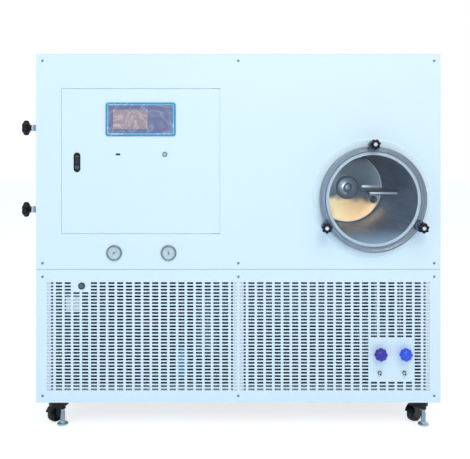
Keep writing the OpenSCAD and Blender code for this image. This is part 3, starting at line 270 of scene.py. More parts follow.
def rolled_shell(name, base, painted_floor_light, roughness, centre):
    """Mill-finished stainless steel of the chamber's wall: dull, dark, with rolling marks along it.

    A paler, bluish strip along the barrel's floor stands in for the light there, and fades inwards.
    """
    coat = patterned(
        name, base, roughness, 0.2, 0.25, values={"Scale": 1 / (6 * MM), "Detail": 4.0},
        scale=(1, 0.06, 1), spread=(roughness - 0.08, roughness + 0.1), relief=0.04)
    tree = coat.tree
    axes = add(tree, "ShaderNodeSeparateXYZ", None, {"Vector": on_piece(tree, centre, PER_MM)})
    # The strip's edge climbs 0.12 mm for each millimetre inwards
    inwards = add(
        tree, "ShaderNodeMath", {1: 0.12}, {0: axes.outputs["Y"], 2: axes.outputs["Z"]},
        operation="MULTIPLY_ADD")
    height = add(
        tree, "ShaderNodeMapRange", {"From Min": -138.0, "From Max": -98.0},
        {"Value": inwards.outputs["Value"]})
    shade = add(
        tree, "ShaderNodeValToRGB", None, {"Fac": height.outputs["Result"]},
        [(0.0, painted_floor_light), (1.0, base)])
    tree.links.new(shade.outputs["Color"], coat.shader.inputs["Base Color"])
    return coat


def plate_with_painted_reflection(name, centre, warm):
    """Turned steel, welded at its hub, with a reflection painted into its colour: copper-gold below the
    hub and dark grey above it.

    Its rings are given as 1 mm and lie 2 pi times as far apart, as said at WAVE.
    """
    coat = patterned(
        name, "#9a9ca6", 0.34, 0.35, kind="Wave", centre=centre, scale=PER_MM, relief=0.02,
        values={"Scale": WAVE, "Distortion": 0.5, "Detail": 2.0},
        wave_type="RINGS", rings_direction="Y")
    tree = coat.tree
    # The painted reflection's edge slopes down to the right and wavers by about 20 mm
    waver = add(tree, "ShaderNodeTexNoise", {"Scale": 0.03, "Detail": 3.0}, {"Vector": coat.point})
    axes = add(tree, "ShaderNodeSeparateXYZ", None, {"Vector": coat.point})
    slope = add(
        tree, "ShaderNodeMath", {1: 0.12}, {0: axes.outputs["X"], 2: axes.outputs["Z"]},
        operation="MULTIPLY_ADD")
    shaken = add(
        tree, "ShaderNodeMath", {1: 46.0}, {0: waver.outputs["Fac"], 2: slope.outputs["Value"]},
        operation="MULTIPLY_ADD")
    share = add(
        tree, "ShaderNodeMapRange", {"From Min": -34.0, "From Max": -12.0},
        {"Value": shaken.outputs["Value"]})
    # Within it, the painted reflection runs from pale straw at the left to copper at the right, in clouds
    cloud = add(tree, "ShaderNodeTexNoise", {"Scale": 0.018, "Detail": 4.0}, {"Vector": coat.point})
    across = add(
        tree, "ShaderNodeMapRange", {"From Min": -120.0, "From Max": 90.0},
        {"Value": axes.outputs["X"]})
    mottled = add(
        tree, "ShaderNodeMath", {1: 0.5}, {0: cloud.outputs["Fac"], 2: across.outputs["Result"]},
        operation="MULTIPLY_ADD")
    gold = add(
        tree, "ShaderNodeValToRGB", None, {"Fac": mottled.outputs["Value"]},
        [(0.25, "#fff6e2"), (0.45, warm), (0.75, "#f4c690"), (1.0, "#e0a978")])
    shade = add(
        tree, "ShaderNodeMix", {7: linear("#50565f")},
        {"Factor": share.outputs["Result"], 6: gold.outputs["Color"]}, data_type="RGBA")
    tree.links.new(shade.outputs[2], coat.shader.inputs["Base Color"])
    return coat


def galvanised(name, base):
    """Hot-dip galvanised sheet: dull grey with zinc spangle about 12 mm across."""
    return patterned(
        name, base, 0.5, 0.7, kind="Voronoi", values={"Scale": 1 / (12 * MM)}, spread=(0.42, 0.6),
        at=(0.1, 0.9))


def moulded(name, base, roughness, grain=0.5, gloss=0.5):
    """Moulded plastic or rubber with a spark-eroded grain, given in millimetres.

    Black pieces are given less gloss, because the white room would turn them grey.
    """
    return patterned(
        name, base, roughness, 0.0, gloss, values={"Scale": 1 / (grain * MM), "Detail": 2.0},
        relief=0.02)


def worn_metal(name, base, roughness, metallic=1.0):
    """Plated or bare metal as handled: the gloss wanders a little over patches 3 mm across."""
    return patterned(
        name, base, roughness, metallic, values={"Scale": 1 / (3 * MM), "Detail": 3.0},
        spread=(max(roughness - 0.05, 0.03), roughness + 0.09), relief=0.015)


def printed(name, base, roughness=0.55):
    """Screen-printed ink or enamel: matt, with a trace of unevenness 1 mm across."""
    return patterned(
        name, base, roughness, values={"Scale": 1 / MM, "Detail": 2.0},
        spread=(roughness - 0.08, roughness + 0.08))


def threaded(name, base, pitch):
    """Plated steel rod with a rolled thread: bright and dark bands up the rod.

    The bands lie 2 pi times the pitch apart, as said at WAVE.
    """
    return patterned(
        name, base, 0.35, 1.0, kind="Wave", values={"Scale": WAVE / (pitch * MM)}, relief=0.3,
        wave_type="BANDS", bands_direction="Z")


def filmed(name, base, fold_highlight, deep, spacing, narrow=0.12):
    """A printed face under its loose protective film: long folds, about spacing mm apart, drawn as pale
    lines of painted highlight.
    """
    coat = patterned(
        name, base, 0.3, scale=PER_MM,
        values={"Scale": 0.32 / spacing, "Detail": 1.2, "Distortion": 1.1})
    tree, shader = coat.tree, coat.shader
    steeper = add(tree, "ShaderNodeMath", {1: 5.0}, {0: coat.pattern}, operation="MULTIPLY")
    lines = add(
        tree, "ShaderNodeMath", {1: 0.5}, {0: steeper.outputs["Value"]}, operation="PINGPONG")
    shade = add(
        tree, "ShaderNodeValToRGB", None, {"Fac": lines.outputs["Value"]},
        [(0.0, fold_highlight), (narrow, base), (0.5, deep)])
    bump = add(tree, "ShaderNodeBump", {"Distance": 0.4 * MM}, {"Height": lines.outputs["Value"]})
    tree.links.new(shade.outputs["Color"], shader.inputs["Base Color"])
    tree.links.new(bump.outputs["Normal"], shader.inputs["Normal"])
    return coat


def clear_sheet(name, ior):
    """Clear cast sheet, polished: a sharp gloss, and lamps shine through it."""
    made, tree, shader = plain(name, "#f4fbfc", 0.02)
    shader.inputs["Transmission Weight"].default_value = 1.0
    shader.inputs["IOR"].default_value = ior
    path = add(tree, "ShaderNodeLightPath")
    through = add(tree, "ShaderNodeBsdfTransparent", {"Color": linear("#f0f8fa")})
    both = add(tree, "ShaderNodeMixShader", None, {
        0: path.outputs["Is Shadow Ray"], 1: shader.outputs["BSDF"], 2: through.outputs["BSDF"]})
    tree.links.new(both.outputs["Shader"], tree.nodes["Material Output"].inputs["Surface"])
    return Coat(made, tree, shader, None, None)


def all_finishes():
    """Every finish, by the short name under which the operators ask for it."""
    shades = settings().colours
    axis = (CHAMBER.x, FRONT, CHAMBER.z)
    lengthwise = (1, 0.05, 1)
    thread_pitch = 1.75
    return {
        # Cabinet: powder-coated sheet, an even cool white; the walls inside its gaps and slots are
        # painted grey-blue as shade, and read as grey lines
        "cabinet": powder_coat("powder_coat_pale_white", shades.cabinet),
        "painted_gap_shade": powder_coat("powder_coat_cut_edge", "#71828e"),
        "frame": powder_coat("powder_coat_frame_white", shades.frame),
        "galvanised": galvanised("galvanised_sheet", "#6f787f"),
        # Zinc-plated screws gone dull: small blue-grey dots on the white
        "screw": worn_metal("zinc_plate_dull", "#6d8294", 0.4, 0.6),
        # Chamber: a turned grey flange with a groove painted dark as the clear door's shadow, a dark
        # barrel with a strip of painted light on its floor, brushed outside
        "flange": turned_metal("stainless_turned_flange", "#7d8593", 0.32, axis),
        "groove": turned_metal("stainless_groove_painted_shadow", "#4b525c", 0.45, axis, 0.8, 0.5),
        # The second colour is a strip of painted light along the barrel's floor
        "shell": rolled_shell("stainless_rolled_shell", "#4f5e78", "#95b0d5", 0.5, axis),
        "shell_outside": brushed("stainless_brushed", "#a9b2ba", 0.32, lengthwise),
        # The far plate: a painted warm reflection below and dark grey above, a painted highlight along
        # its bevel, and a turned hub painted dark as shade
        "cold_plate": plate_with_painted_reflection("steel_heat_tinted", axis, shades.painted_warm_reflection),
        # A pale line along the plate's bevel is a painted highlight
        "plate_edge_highlight": worn_metal("stainless_edge_painted_highlight", "#c9c4c2", 0.4, 0.1),
        # The hub's cone and its end are painted dark grey as shade
        "hub_cone": turned_metal("stainless_hub_painted_shade", "#575a63", 0.36, axis, 1.6, 0.5),
        "hub_end": worn_metal("stainless_hub_end_painted_shade", "#3d4046", 0.4, 0.5),
        # The bracket: folded brushed sheet with light flat sides, and black strips along its lip's top
        # and bottom painted as shade
        "bracket": brushed("stainless_folded_bracket", "#6f737b", 0.42, lengthwise, 0.25),
        "bracket_painted_shade": moulded("black_strips_painted_shade", "#14171b", 0.6, gloss=0.2),
        # Polished stainless steel: near-white ends of studs, bushes and small screws
        "bright": worn_metal("stainless_bright", "#d5dbe0", 0.16),
        # The clear door: acrylic's index is 1.49, lowered because the white room, mirrored in the
        # door, would otherwise lift every dark inside the chamber
        "acrylic": clear_sheet("acrylic_clear", 1.25),
        # Moulded white silicone, painted grey-blue as the shade of the flange: a soft pale ring
        "silicone": moulded("silicone_white_in_painted_shade", "#97a2b3", 0.55, 1.2),
        # Die-cast zinc shoes: discs under the black knobs, painted dull blue-grey for the knobs' shadow
        # on them
        "shoe": worn_metal("zinc_shoe_with_painted_shadow", "#56637a", 0.4, 0.5),
        # Moulded phenolic and ABS: deep blacks, the second one with a sharper shine
        "black_plastic": moulded("phenolic_black", "#0b1018", 0.34, gloss=0.2),
        "black_gloss": moulded("abs_black_gloss", "#0a0e14", 0.22, 1.5, 0.22),
        # The latch: a dark recess, a greyer ledge and a die-cast barrel in the black case, its blue-grey
        # a painted highlight
        "latch_recess": moulded("abs_grey_recess", "#2c2531", 0.42, gloss=0.3),
        "latch_ledge": moulded("abs_grey_ledge", "#585a64", 0.4, gloss=0.3),
        "key_barrel_highlight": worn_metal("zinc_barrel_painted_highlight", "#3a6178", 0.4, 0.4),
        # USB socket and push button: a dark grey mouth, a dark plated ring round a pale cap
        "usb_port": moulded("polycarbonate_dark_grey", "#566066", 0.4, gloss=0.3),
        "button_ring": worn_metal("steel_dark_plated", "#5a666c", 0.3, 0.8),
        "button_cap": moulded("abs_pale_button", "#b4c1c7", 0.35),
        # The display under its film: a blue frame with a paler inner lip, slate face, warm grey screen;
        # the film's pale fold lines are painted highlights
        "display_frame": filmed(
            "abs_blue_under_film", shades.display_frame, "#9ad2ec", "#2f8ebd", 40, 0.05),
        "display_lip": filmed(
            "abs_pale_blue_under_film", "#93cae6", "#eef8fd", "#86c0e0", 30, 0.1),
        "display_face": filmed(
            "printed_slate_under_film", shades.display_face, "#9299b4", "#6e6e94", 28),
        "screen": filmed("screen_under_film", shades.screen, "#c6b8bc", "#9c8e96", 20),
        # Gauges: a pressed steel rim, a grey surround, a matt pale dial and black print under glass
        "gauge_rim": worn_metal("stainless_pressed_rim", "#7c858e", 0.24),
        "gauge_surround": printed("enamel_grey_surround", "#868e97"),
        "gauge_glass": clear_sheet("gauge_glass_clear", 1.52),
        "dial": printed("dial_printed_white", "#bfcede"),
        "print": printed("print_black", "#15181b"),
        # Drain knobs: glossy moulded ABS, indigo at the left and strong blue at the right
        "drain_left": moulded("abs_indigo", shades.drain_left, 0.3),
        "drain_right": moulded("abs_blue", shades.drain_right, 0.3),
        # Valves and lines: drawn steel tube, oxide-blackened seats, a milky nylon ring
        "steel_tube": worn_metal("stainless_tube", "#b4bcc3", 0.26),
        "black_oxide": worn_metal("steel_black_oxide", "#2a333c", 0.38, 0.7),
        "nylon": moulded("nylon_white", "#e4ebf0", 0.45),
        # Main switch: a grey-green moulded cap in a black anodised ring
        "switch_cap": moulded("abs_grey_green", "#4c6164", 0.4),
        "switch_ring": worn_metal("anodised_black", "#243234", 0.35, 0.4),
        # Refrigeration: browned copper, buff foam, black enamel, two blues, pale aluminium fins
        "copper": worn_metal("copper_tube", "#85604c", 0.3),
        "foam": moulded("foam_rubber", "#b6ad8c", 0.9, 3.0),
        "machine_black": powder_coat("enamel_black", "#101315", 0.3),
        "receiver": powder_coat("enamel_pale_blue", "#a9c8dc", 0.38),
        "drier": powder_coat("enamel_light_blue", "#74cbff", 0.34),
        "pump": powder_coat("enamel_steel_blue", "#8ea9bd", 0.35),
        "fins": worn_metal("aluminium_fin", "#a4adb3", 0.36),
        # Control modules: matt moulded polycarbonate in three greys
        "module": moulded("polycarbonate_grey", "#6d757b", 0.5),
        "module_dark": moulded("polycarbonate_black", "#1b1f22", 0.45),
        "junction_box": moulded("polycarbonate_pale", "#c9d3da", 0.5),
        # Casters: a dull black tyre on a dark nylon hub, a pale zinc foot on a threaded stud
        "tyre": moulded("polyurethane_black", "#10141a", 0.55, 1.0, 0.25),
        "hub": moulded("nylon_grey", "#20262e", 0.5, gloss=0.25),
        "foot": worn_metal("zinc_plate", "#a9c2cf", 0.36, 0.7),
        "foot_stud": threaded("zinc_plate_thread", "#8b9cb0", thread_pitch),
    }


FINISHES = {}


def finish(key):
    """The finish of that name; all of them are made at the first call."""
    if not FINISHES:
        FINISHES.update(all_finishes())
    return FINISHES[key].material


def dress(key, *nodes):
    """Gives CAD nodes a finish."""
    for name in nodes:
        for slot in frame["nodes"][name].material_slots:
            slot.material = finish(key)


# ---- Mesh making ----

def repainted(node, name, body, finishes, choose, slot, sharp=35):
    """A CAD node's own shape with several finishes.

    choose gives the number of a face's finish from the face's middle.
    """
    maker = Maker()
    maker.bm.from_mesh(frame["nodes"][node].data)
    bmesh.ops.remove_doubles(maker.bm, verts=maker.bm.verts, dist=0.01 * MM)
    for face in maker.bm.faces:
        face.material_index = choose(face.calc_center_median())
    return maker.done(name, body, finishes, [node], slot, sharp)


class Maker:
    """Collects shapes, in millimetres under a placing matrix, into one piece."""

    def __init__(self):
        self.bm = bmesh.new()

    def loft(self, rings, place, spans=None, closed=False, paint=0):
        """Joins rings of points in order; a ring of one point is a pole."""
        rows = [[self.bm.verts.new(place @ Vector(p)) for p in ring] for ring in rings]
        pairs = list(zip(rows, rows[1:])) + ([(rows[-1], rows[0])] if closed else [])
        for number, (a, b) in enumerate(pairs):
            n = max(len(a), len(b))
            for i in range(n):
                corners = [a[i % len(a)], a[(i + 1) % len(a)], b[(i + 1) % len(b)], b[i % len(b)]]
                face = self.bm.faces.new(list(dict.fromkeys(corners)))
                face.material_index = spans[number] if spans else paint
        return self

    def lobed(self, profile, lobes, place, segments=112, **how):
        """A moulded knob from (radius, lobe depth, height) points, with grooves between its lobes."""
        narrowing = 1.6     # narrows the grooves and broadens the lobes
        angles = [2 * math.pi * i / segments for i in range(segments)]
        rings = []
        for r, depth, h in profile:
            reach = [r - depth * (0.5 - 0.5 * math.cos(lobes * a)) ** narrowing for a in angles]
            rings.append([(0, 0, h)] if r == 0 else [
                (d * math.cos(a), d * math.sin(a), h) for d, a in zip(reach, angles)])
        return self.loft(rings, place, **how)

    def turned(self, profile, place, segments=72, **how):
        """A lathe shape from (radius, height) points."""
        return self.lobed([(r, 0, h) for r, h in profile], 0, place, segments, **how)

    def finished(self, faces, place, paint):
        """Paints new faces and moves them to their place."""
        for face in faces:
            face.material_index = paint
        bmesh.ops.transform(
            self.bm, matrix=place, verts=list({v for f in faces for v in f.verts}))
        return self

    def block(self, low, high, place, bevel=0.0, paint=0):
        """A box between two corners with rounded edges."""
        low, high = Vector(low), Vector(high)
        made = bmesh.ops.create_cube(self.bm, size=1)
        verts = made["verts"]
        bmesh.ops.scale(self.bm, vec=high - low, verts=verts)
        bmesh.ops.translate(self.bm, vec=(low + high) / 2, verts=verts)
        faces = {f for v in verts for f in v.link_faces}
        if bevel:
            edges = {e for f in faces for e in f.edges}
            made = bmesh.ops.bevel(
                self.bm, geom=list(edges) + verts, offset=bevel, segments=3, profile=0.5,
                affect="EDGES")
            faces = {f for v in made["verts"] for f in v.link_faces}
        return self.finished(faces, place, paint)

    def plate(self, outline, low, high, place, paint=0, bevel=0.0):
        """A flat plate from an outline of (x, y) points."""
        bottom = [self.bm.verts.new((x, y, low)) for x, y in outline]
        top = [self.bm.verts.new((x, y, high)) for x, y in outline]
        n = len(outline)
        faces = [self.bm.faces.new(bottom[::-1]), self.bm.faces.new(top)]
        rim = list(faces[1].edges)
        for i in range(n):
            j = (i + 1) % n
            faces.append(self.bm.faces.new([bottom[i], bottom[j], top[j], top[i]]))
        if bevel:
            made = bmesh.ops.bevel(
                self.bm, geom=rim, offset=bevel, segments=3, profile=0.5, affect="EDGES")
            faces = {f for v in made["verts"] for f in v.link_faces} | {f for f in faces if f.is_valid}
        return self.finished(faces, place, paint)

    def mesh(self, name):
        """Ends the collecting and gives the mesh, its faces pointing outwards."""
        bmesh.ops.recalc_face_normals(self.bm, faces=self.bm.faces)
        mesh = bpy.data.meshes.new(name)
        self.bm.to_mesh(mesh)
        self.bm.free()
        return mesh

    def done(self, name, body, finishes, nodes=(), slot=None, sharp=35):
        """Ends the piece: its mesh stands at the origin, rides on a body and replaces CAD nodes."""
        return settle(self.mesh(name), name, body, finishes, nodes, sharp)


def settle(mesh, name, body, finishes, nodes=(), sharp=35):
    """Puts a finished mesh in the scene as a piece of the object."""
    for slot_number, key in enumerate(finishes):
        if slot_number < len(mesh.materials):
            mesh.materials[slot_number] = finish(key)
        else:
            mesh.materials.append(finish(key))
    mesh.polygons.foreach_set("use_smooth", [True] * len(mesh.polygons))
    mesh.set_sharp_from_angle(angle=math.radians(sharp))
    made = bpy.data.objects.new(name, mesh)
    bpy.context.scene.collection.objects.link(made)
    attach(made, body)
    if nodes:
        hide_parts(*nodes)
    return made


def at_heights(rings):
    """Rings for a loft from (outline, height) pairs."""
    return [[(x, y, h) for x, y in outline] for outline, h in rings]


def rounded(w, h, r, steps=8):
    """The outline of a rectangle with round corners, about its middle."""
    points = []
    for cx, cy, start in ((1, 1, 0), (-1, 1, 90), (-1, -1, 180), (1, -1, 270)):
        for i in range(steps + 1):
            a = math.radians(start + 90 * i / steps)
            points.append((
                cx * (w / 2 - r) + r * math.cos(a),
                cy * (h / 2 - r) + r * math.sin(a)))
    return points


# ---- Geometry Nodes: what repeats ----

def new_tree(name, **inputs):
    """A geometry tree with named inputs; returns it with its inputs' sockets and its output node."""
    tree = bpy.data.node_groups.new(name, "GeometryNodeTree")
    tree.interface.new_socket("Geometry", in_out="INPUT", socket_type="NodeSocketGeometry")
    for label, kind in inputs.items():
        tree.interface.new_socket(
            label.replace("_", " "), in_out="INPUT", socket_type="NodeSocket" + kind)
    tree.interface.new_socket("Geometry", in_out="OUTPUT", socket_type="NodeSocketGeometry")
    return tree, add(tree, "NodeGroupInput").outputs, add(tree, "NodeGroupOutput")


def end_tree(tree, given, end, points, copied, turn=None):
    """Sets a copy on each point, realizes the copies, sets their material and feeds the output."""
    links = {"Points": points, "Instance": copied}
    if turn:
        links["Rotation"] = turn
    copies = add(tree, "GeometryNodeInstanceOnPoints", None, links)
    real = add(tree, "GeometryNodeRealizeInstances", None, {"Geometry": copies.outputs["Instances"]})
    painted = add(
        tree, "GeometryNodeSetMaterial", None,
        {"Geometry": real.outputs["Geometry"], "Material": given["Material"]})
    tree.links.new(painted.outputs["Geometry"], end.inputs["Geometry"])
    return tree


def row_tree():
    """Equal blocks at equal steps along a line: fins and slats."""
    tree, given, end = new_tree(
        "blocks_in_a_row", Count="Int", First="Vector", Step="Vector", Size="Vector",
        Material="Material")
    line = add(tree, "GeometryNodeMeshLine", None, {
        "Count": given["Count"], "Start Location": given["First"], "Offset": given["Step"]},
        mode="OFFSET", count_mode="TOTAL")
    block = add(tree, "GeometryNodeMeshCube", None, {"Size": given["Size"]})
    return end_tree(tree, given, end, line.outputs["Mesh"], block.outputs["Mesh"])


def ring_tree():
    """Equal blocks round an axis over a sweep: dial marks, cooling ribs and tread."""
    tree, given, end = new_tree(
        "blocks_in_a_ring", Count="Int", Radius="Float", Start_Angle="Float", Step_Angle="Float",
        Size="Vector", Lift="Float", Material="Material")
    points = add(tree, "GeometryNodePoints", None, {"Count": given["Count"]})
    number = add(tree, "GeometryNodeInputIndex")
    angle = add(tree, "ShaderNodeMath", None, {
        0: number.outputs["Index"], 1: given["Step Angle"], 2: given["Start Angle"]},
        operation="MULTIPLY_ADD")
    turn = add(tree, "ShaderNodeCombineXYZ", None, {"Z": angle.outputs["Value"]})
    reach = add(tree, "ShaderNodeCombineXYZ", None, {"X": given["Radius"], "Z": given["Lift"]})
    spun = add(tree, "ShaderNodeVectorRotate", None, {
        "Vector": reach.outputs["Vector"], "Rotation": turn.outputs["Vector"]},
        rotation_type="EULER_XYZ")
    moved = add(tree, "GeometryNodeSetPosition", None, {
        "Geometry": points.outputs["Points"], "Position": spun.outputs["Vector"]})
    block = add(tree, "GeometryNodeMeshCube", None, {"Size": given["Size"]})
    return end_tree(tree, given, end, moved.outputs["Geometry"], block.outputs["Mesh"],
                    turn.outputs["Vector"])


def screw_tree():
    """One screw head on each point, turned by the point's own facing."""
    tree, given, end = new_tree("heads_on_points", Head="Object", Material="Material")
    facing = add(
        tree, "GeometryNodeInputNamedAttribute", {"Name": "facing"}, data_type="FLOAT_VECTOR")
    head = add(tree, "GeometryNodeObjectInfo", None, {"Object": given["Head"]})
    return end_tree(tree, given, end, given["Geometry"], head.outputs["Geometry"],
                    facing.outputs["Attribute"])


TREES = {}


def grown(maker, values, place=None, source=None):
    """Runs a geometry tree on a mesh and returns the result as a plain mesh."""
    if maker not in TREES:
        TREES[maker] = maker()
    tree = TREES[maker]
    mesh = source or bpy.data.meshes.new("seed")
    holder = bpy.data.objects.new("seed", mesh)
    bpy.context.scene.collection.objects.link(holder)
    modifier = holder.modifiers.new("Repeat", "NODES")
    modifier.node_group = tree
    names = {s.name: s.identifier for s in tree.interface.items_tree if s.in_out == "INPUT"}
    for label, value in values.items():
        modifier[names[label]] = value
    ready = holder.evaluated_get(bpy.context.evaluated_depsgraph_get())
    result = bpy.data.meshes.new_from_object(ready)
    bpy.data.objects.remove(holder)
    if place:
        result.transform(place)
    return result


# ---- Pieces ----

class FREEZEDRYER_OT_cabinet(Operator):
    """Coats the cabinet's sheets and frame"""
    bl_idname = "freeze_dryer.cabinet"
    bl_label = "Cabinet"

    def execute(self, context):
        dress("cabinet", "side_panel_left", "side_panel_right", "rear_panel", "top_panel",
              "control_door", "door_hinges")
        dress("frame", "frame_rails", "frame_posts")
        dress("galvanised", "base_plate", "deck_plate", "control_enclosure")
        dress("black_plastic", "power_inlet")
        behind_face, within_sheet = FRONT + 0.2 * MM, FRONT + 1.3 * MM
        at_seam, past_door, plain_rim = 3 * MM, 4 * MM, 25 * MM
        door, half = middle("control_door"), span("control_door") / 2 + Vector([past_door] * 3)
        low, high = (Vector(c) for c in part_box("lower_front_panel"))

        def at_door(p):
            return abs(p.x - door.x) < half.x and abs(p.z - door.z) < half.z

        def in_slot(p):
            return (p.y < within_sheet and low.x + plain_rim < p.x < high.x - plain_rim
                    and low.z + plain_rim < p.z < high.z - plain_rim)

        # Faces inside the door's gap, along the seam and in the grille's slots are painted darker as
        # shade
        for part, is_shaded_gap in (("upper", at_door), ("lower", in_slot)):
            repainted(
                f"{part}_front_panel", f"{part}_front_sheet", "cabinet", ["cabinet", "painted_gap_shade"],
                lambda p: int(p.y > behind_face and (abs(p.z - SEAM) < at_seam or is_shaded_gap(p))),
                "cabinet_paint", 2)
        return {"FINISHED"}


def screw_head(radius=4, height=2.2):
    """A pan head with a round recess, standing on z = 0, in metres."""
    dome = [(radius, 0), (radius, 0.25 * height), (0.86 * radius, 0.68 * height),
            (0.62 * radius, 0.92 * height), (0.4 * radius, height)]
    profile = [(0, 0.2)] + dome + [(0.36 * radius, 0.98 * height), (0, 0.5 * height)]
    return Maker().turned(profile, Matrix.Scale(MM, 4), 24).mesh("pan_head")


class FREEZEDRYER_OT_panel_screws(Operator):
    """Sets the panel screws' heads round the sheets"""
    bl_idname = "freeze_dryer.panel_screws"
    bl_label = "Panel Screws"

    def execute(self, context):
        head = bpy.data.objects.new("pan_head", screw_head())
        aside, side_in = 21 * MM, 21.5 * MM
        places = [((x, FRONT, z), (math.pi / 2, 0, 0))
                  for x in (LEFT + aside, MIDDLE, RIGHT - aside)
                  for z in (TOP - 22 * MM, SEAM + 20 * MM, SEAM - 23.5 * MM, UNDERSIDE + 22 * MM)]
        side_heights = (TOP - 70 * MM, SEAM + 60 * MM, UNDERSIDE + 70 * MM)
        places += [((x, y, z), (0, turn, 0))
                   for x, turn in ((LEFT, -math.pi / 2), (RIGHT, math.pi / 2))
                   for y in (FRONT + side_in, REAR - side_in) for z in side_heights]
        places += [((x, REAR, z), (-math.pi / 2, 0, 0))
                   for x in (LEFT + side_in, RIGHT - side_in)
                   for z in (TOP - 90 * MM, SEAM + 80 * MM, UNDERSIDE + 90 * MM)]
        seeds = bpy.data.meshes.new("screw_places")
        seeds.from_pydata([p for p, _turn in places], [], [])
        facing = seeds.attributes.new("facing", "FLOAT_VECTOR", "POINT")
        for item, (_p, turn) in zip(facing.data, places):
            item.vector = turn
        mesh = grown(screw_tree, {"Head": head, "Material": finish("screw")}, source=seeds)
        settle(mesh, "panel_screw_heads", "cabinet", ["screw"], ["cabinet_screws"])
        return {"FINISHED"}


class FREEZEDRYER_OT_display(Operator):
    """Models the display with its blue frame, printed face and screen"""
    bl_idname = "freeze_dryer.display"
    bl_label = "Display"

    def execute(self, context):
        bezel, size = middle("display_bezel"), span("display_bezel") / MM
        place = facing_front(bezel.x, bezel.z)
        edge = 9
        outer = rounded(size.x, size.z, 8)
        inner = rounded(size.x - 2 * edge, size.z - 2 * edge, 1.2)
        profile = [(outer, 0), (outer, size.y - 1.6)]
        profile += [(rounded(size.x - 2 * s, size.z - 2 * s, 8 - s), size.y - 1.6 + h)
                    for s, h in ((0.3, 0.8), (0.8, 1.3), (1.6, 1.6))]
        lip = rounded(size.x - 2 * edge + 6, size.z - 2 * edge + 6, 3)
        profile += [(lip, size.y), (inner, size.y - 0.9), (inner, 0)]
        Maker().loft(at_heights(profile), place, closed=True, spans=[0] * 5 + [1, 1, 0]).done(
            "display_frame", "control_door", ["display_frame", "display_lip"], ["display_bezel"],
            "display_blue")
        _low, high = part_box("display_unit")
        wide, tall = span("display_unit").x / MM, span("display_unit").z / MM
        face_w, face_h = size.x - 2 * edge - 0.4, size.z - 2 * edge - 0.4
        screen_w, screen_h, screen_x, screen_y = 111, 62, -33, 0
        maker = Maker()
        maker.block((-wide / 2, -tall / 2, (FRONT - high[1]) / MM), (wide / 2, tall / 2, -1.7),
                    place, 1.5, 2)
        maker.plate(rounded(face_w, face_h, 1.0), -1.9, 1.4, place, 0, 0.5)
        maker.plate([(x + screen_x, y + screen_y) for x, y in rounded(screen_w + 5, screen_h + 5, 2)],
                    1.3, 1.9, place, 0, 0.3)
        maker.plate([(x + screen_x, y + screen_y) for x, y in rounded(screen_w, screen_h, 1.2)],
                    1.8, 2.05, place, 1)
        maker.done("display_panel", "control_door", ["display_face", "screen", "module_dark"],
                   ["display_unit"], "display_face")
        return {"FINISHED"}


class FREEZEDRYER_OT_door_fittings(Operator):
    """Finishes the USB socket, start button and latch on the control door"""
    bl_idname = "freeze_dryer.door_fittings"
    bl_label = "Door Fittings"

    def execute(self, context):
        usb, screw_from = middle("usb_socket"), 8.6 * MM
        repainted("usb_socket", "usb_port", "control_door", ["usb_port", "bright"],
                  lambda p: int(abs(p.x - usb.x) > screw_from and p.y < FRONT + 0.1 * MM), "stainless")
        # The barrel's blue-grey is a painted highlight
        dress("key_barrel_highlight", "latch_barrel")
        dress("button_ring", "start_button_bezel")
        dress("button_cap", "start_button_cap")
        case, size = middle("latch_case"), span("latch_case") / MM
        place = facing_front(case.x, case.z)
        width, height, proud = size.x, size.z, 2.4

        def oval(grow):
            return rounded(width + 2 * grow, height + 2 * grow, width / 2 + grow - 0.01, 16)

        rings = [(oval(0), 0), (oval(0), proud - 1.2), (oval(-0.4), proud - 0.4), (oval(-1.4), proud),
                 (oval(-2.4), proud - 0.3), (oval(-2.8), 0.5)]
        maker = Maker()
        maker.loft([[(x, y, h) for x, y in line] for line, h in rings]
                   + [[(0, 0, 0.5)]], place)
        maker.loft([[(x, y, h) for x, y in oval(-2.3)] for h in (-19, -0.1)] + [[(0, 0, -0.1)]], place)
        maker.turned([(8.6, 0.4), (8.6, proud - 0.2), (7.6, proud + 0.1), (7.0, proud - 0.2), (7.0, 0.4)],
                     facing_front(case.x, case.z - 16 * MM), 48, closed=True)
        maker.plate([(x, y + 8) for x, y in rounded(12, 30, 4)], 0.4, 1.1, place, 1, 0.2)
        maker.plate([(x, y + 19) for x, y in rounded(11, 3.2, 1.5)], 0.9, proud - 0.4, place, 2, 0.6)
        maker.done("latch_housing", "control_door", ["black_gloss", "latch_recess", "latch_ledge"],
                   ["latch_case"], "black_plastic")
        return {"FINISHED"}


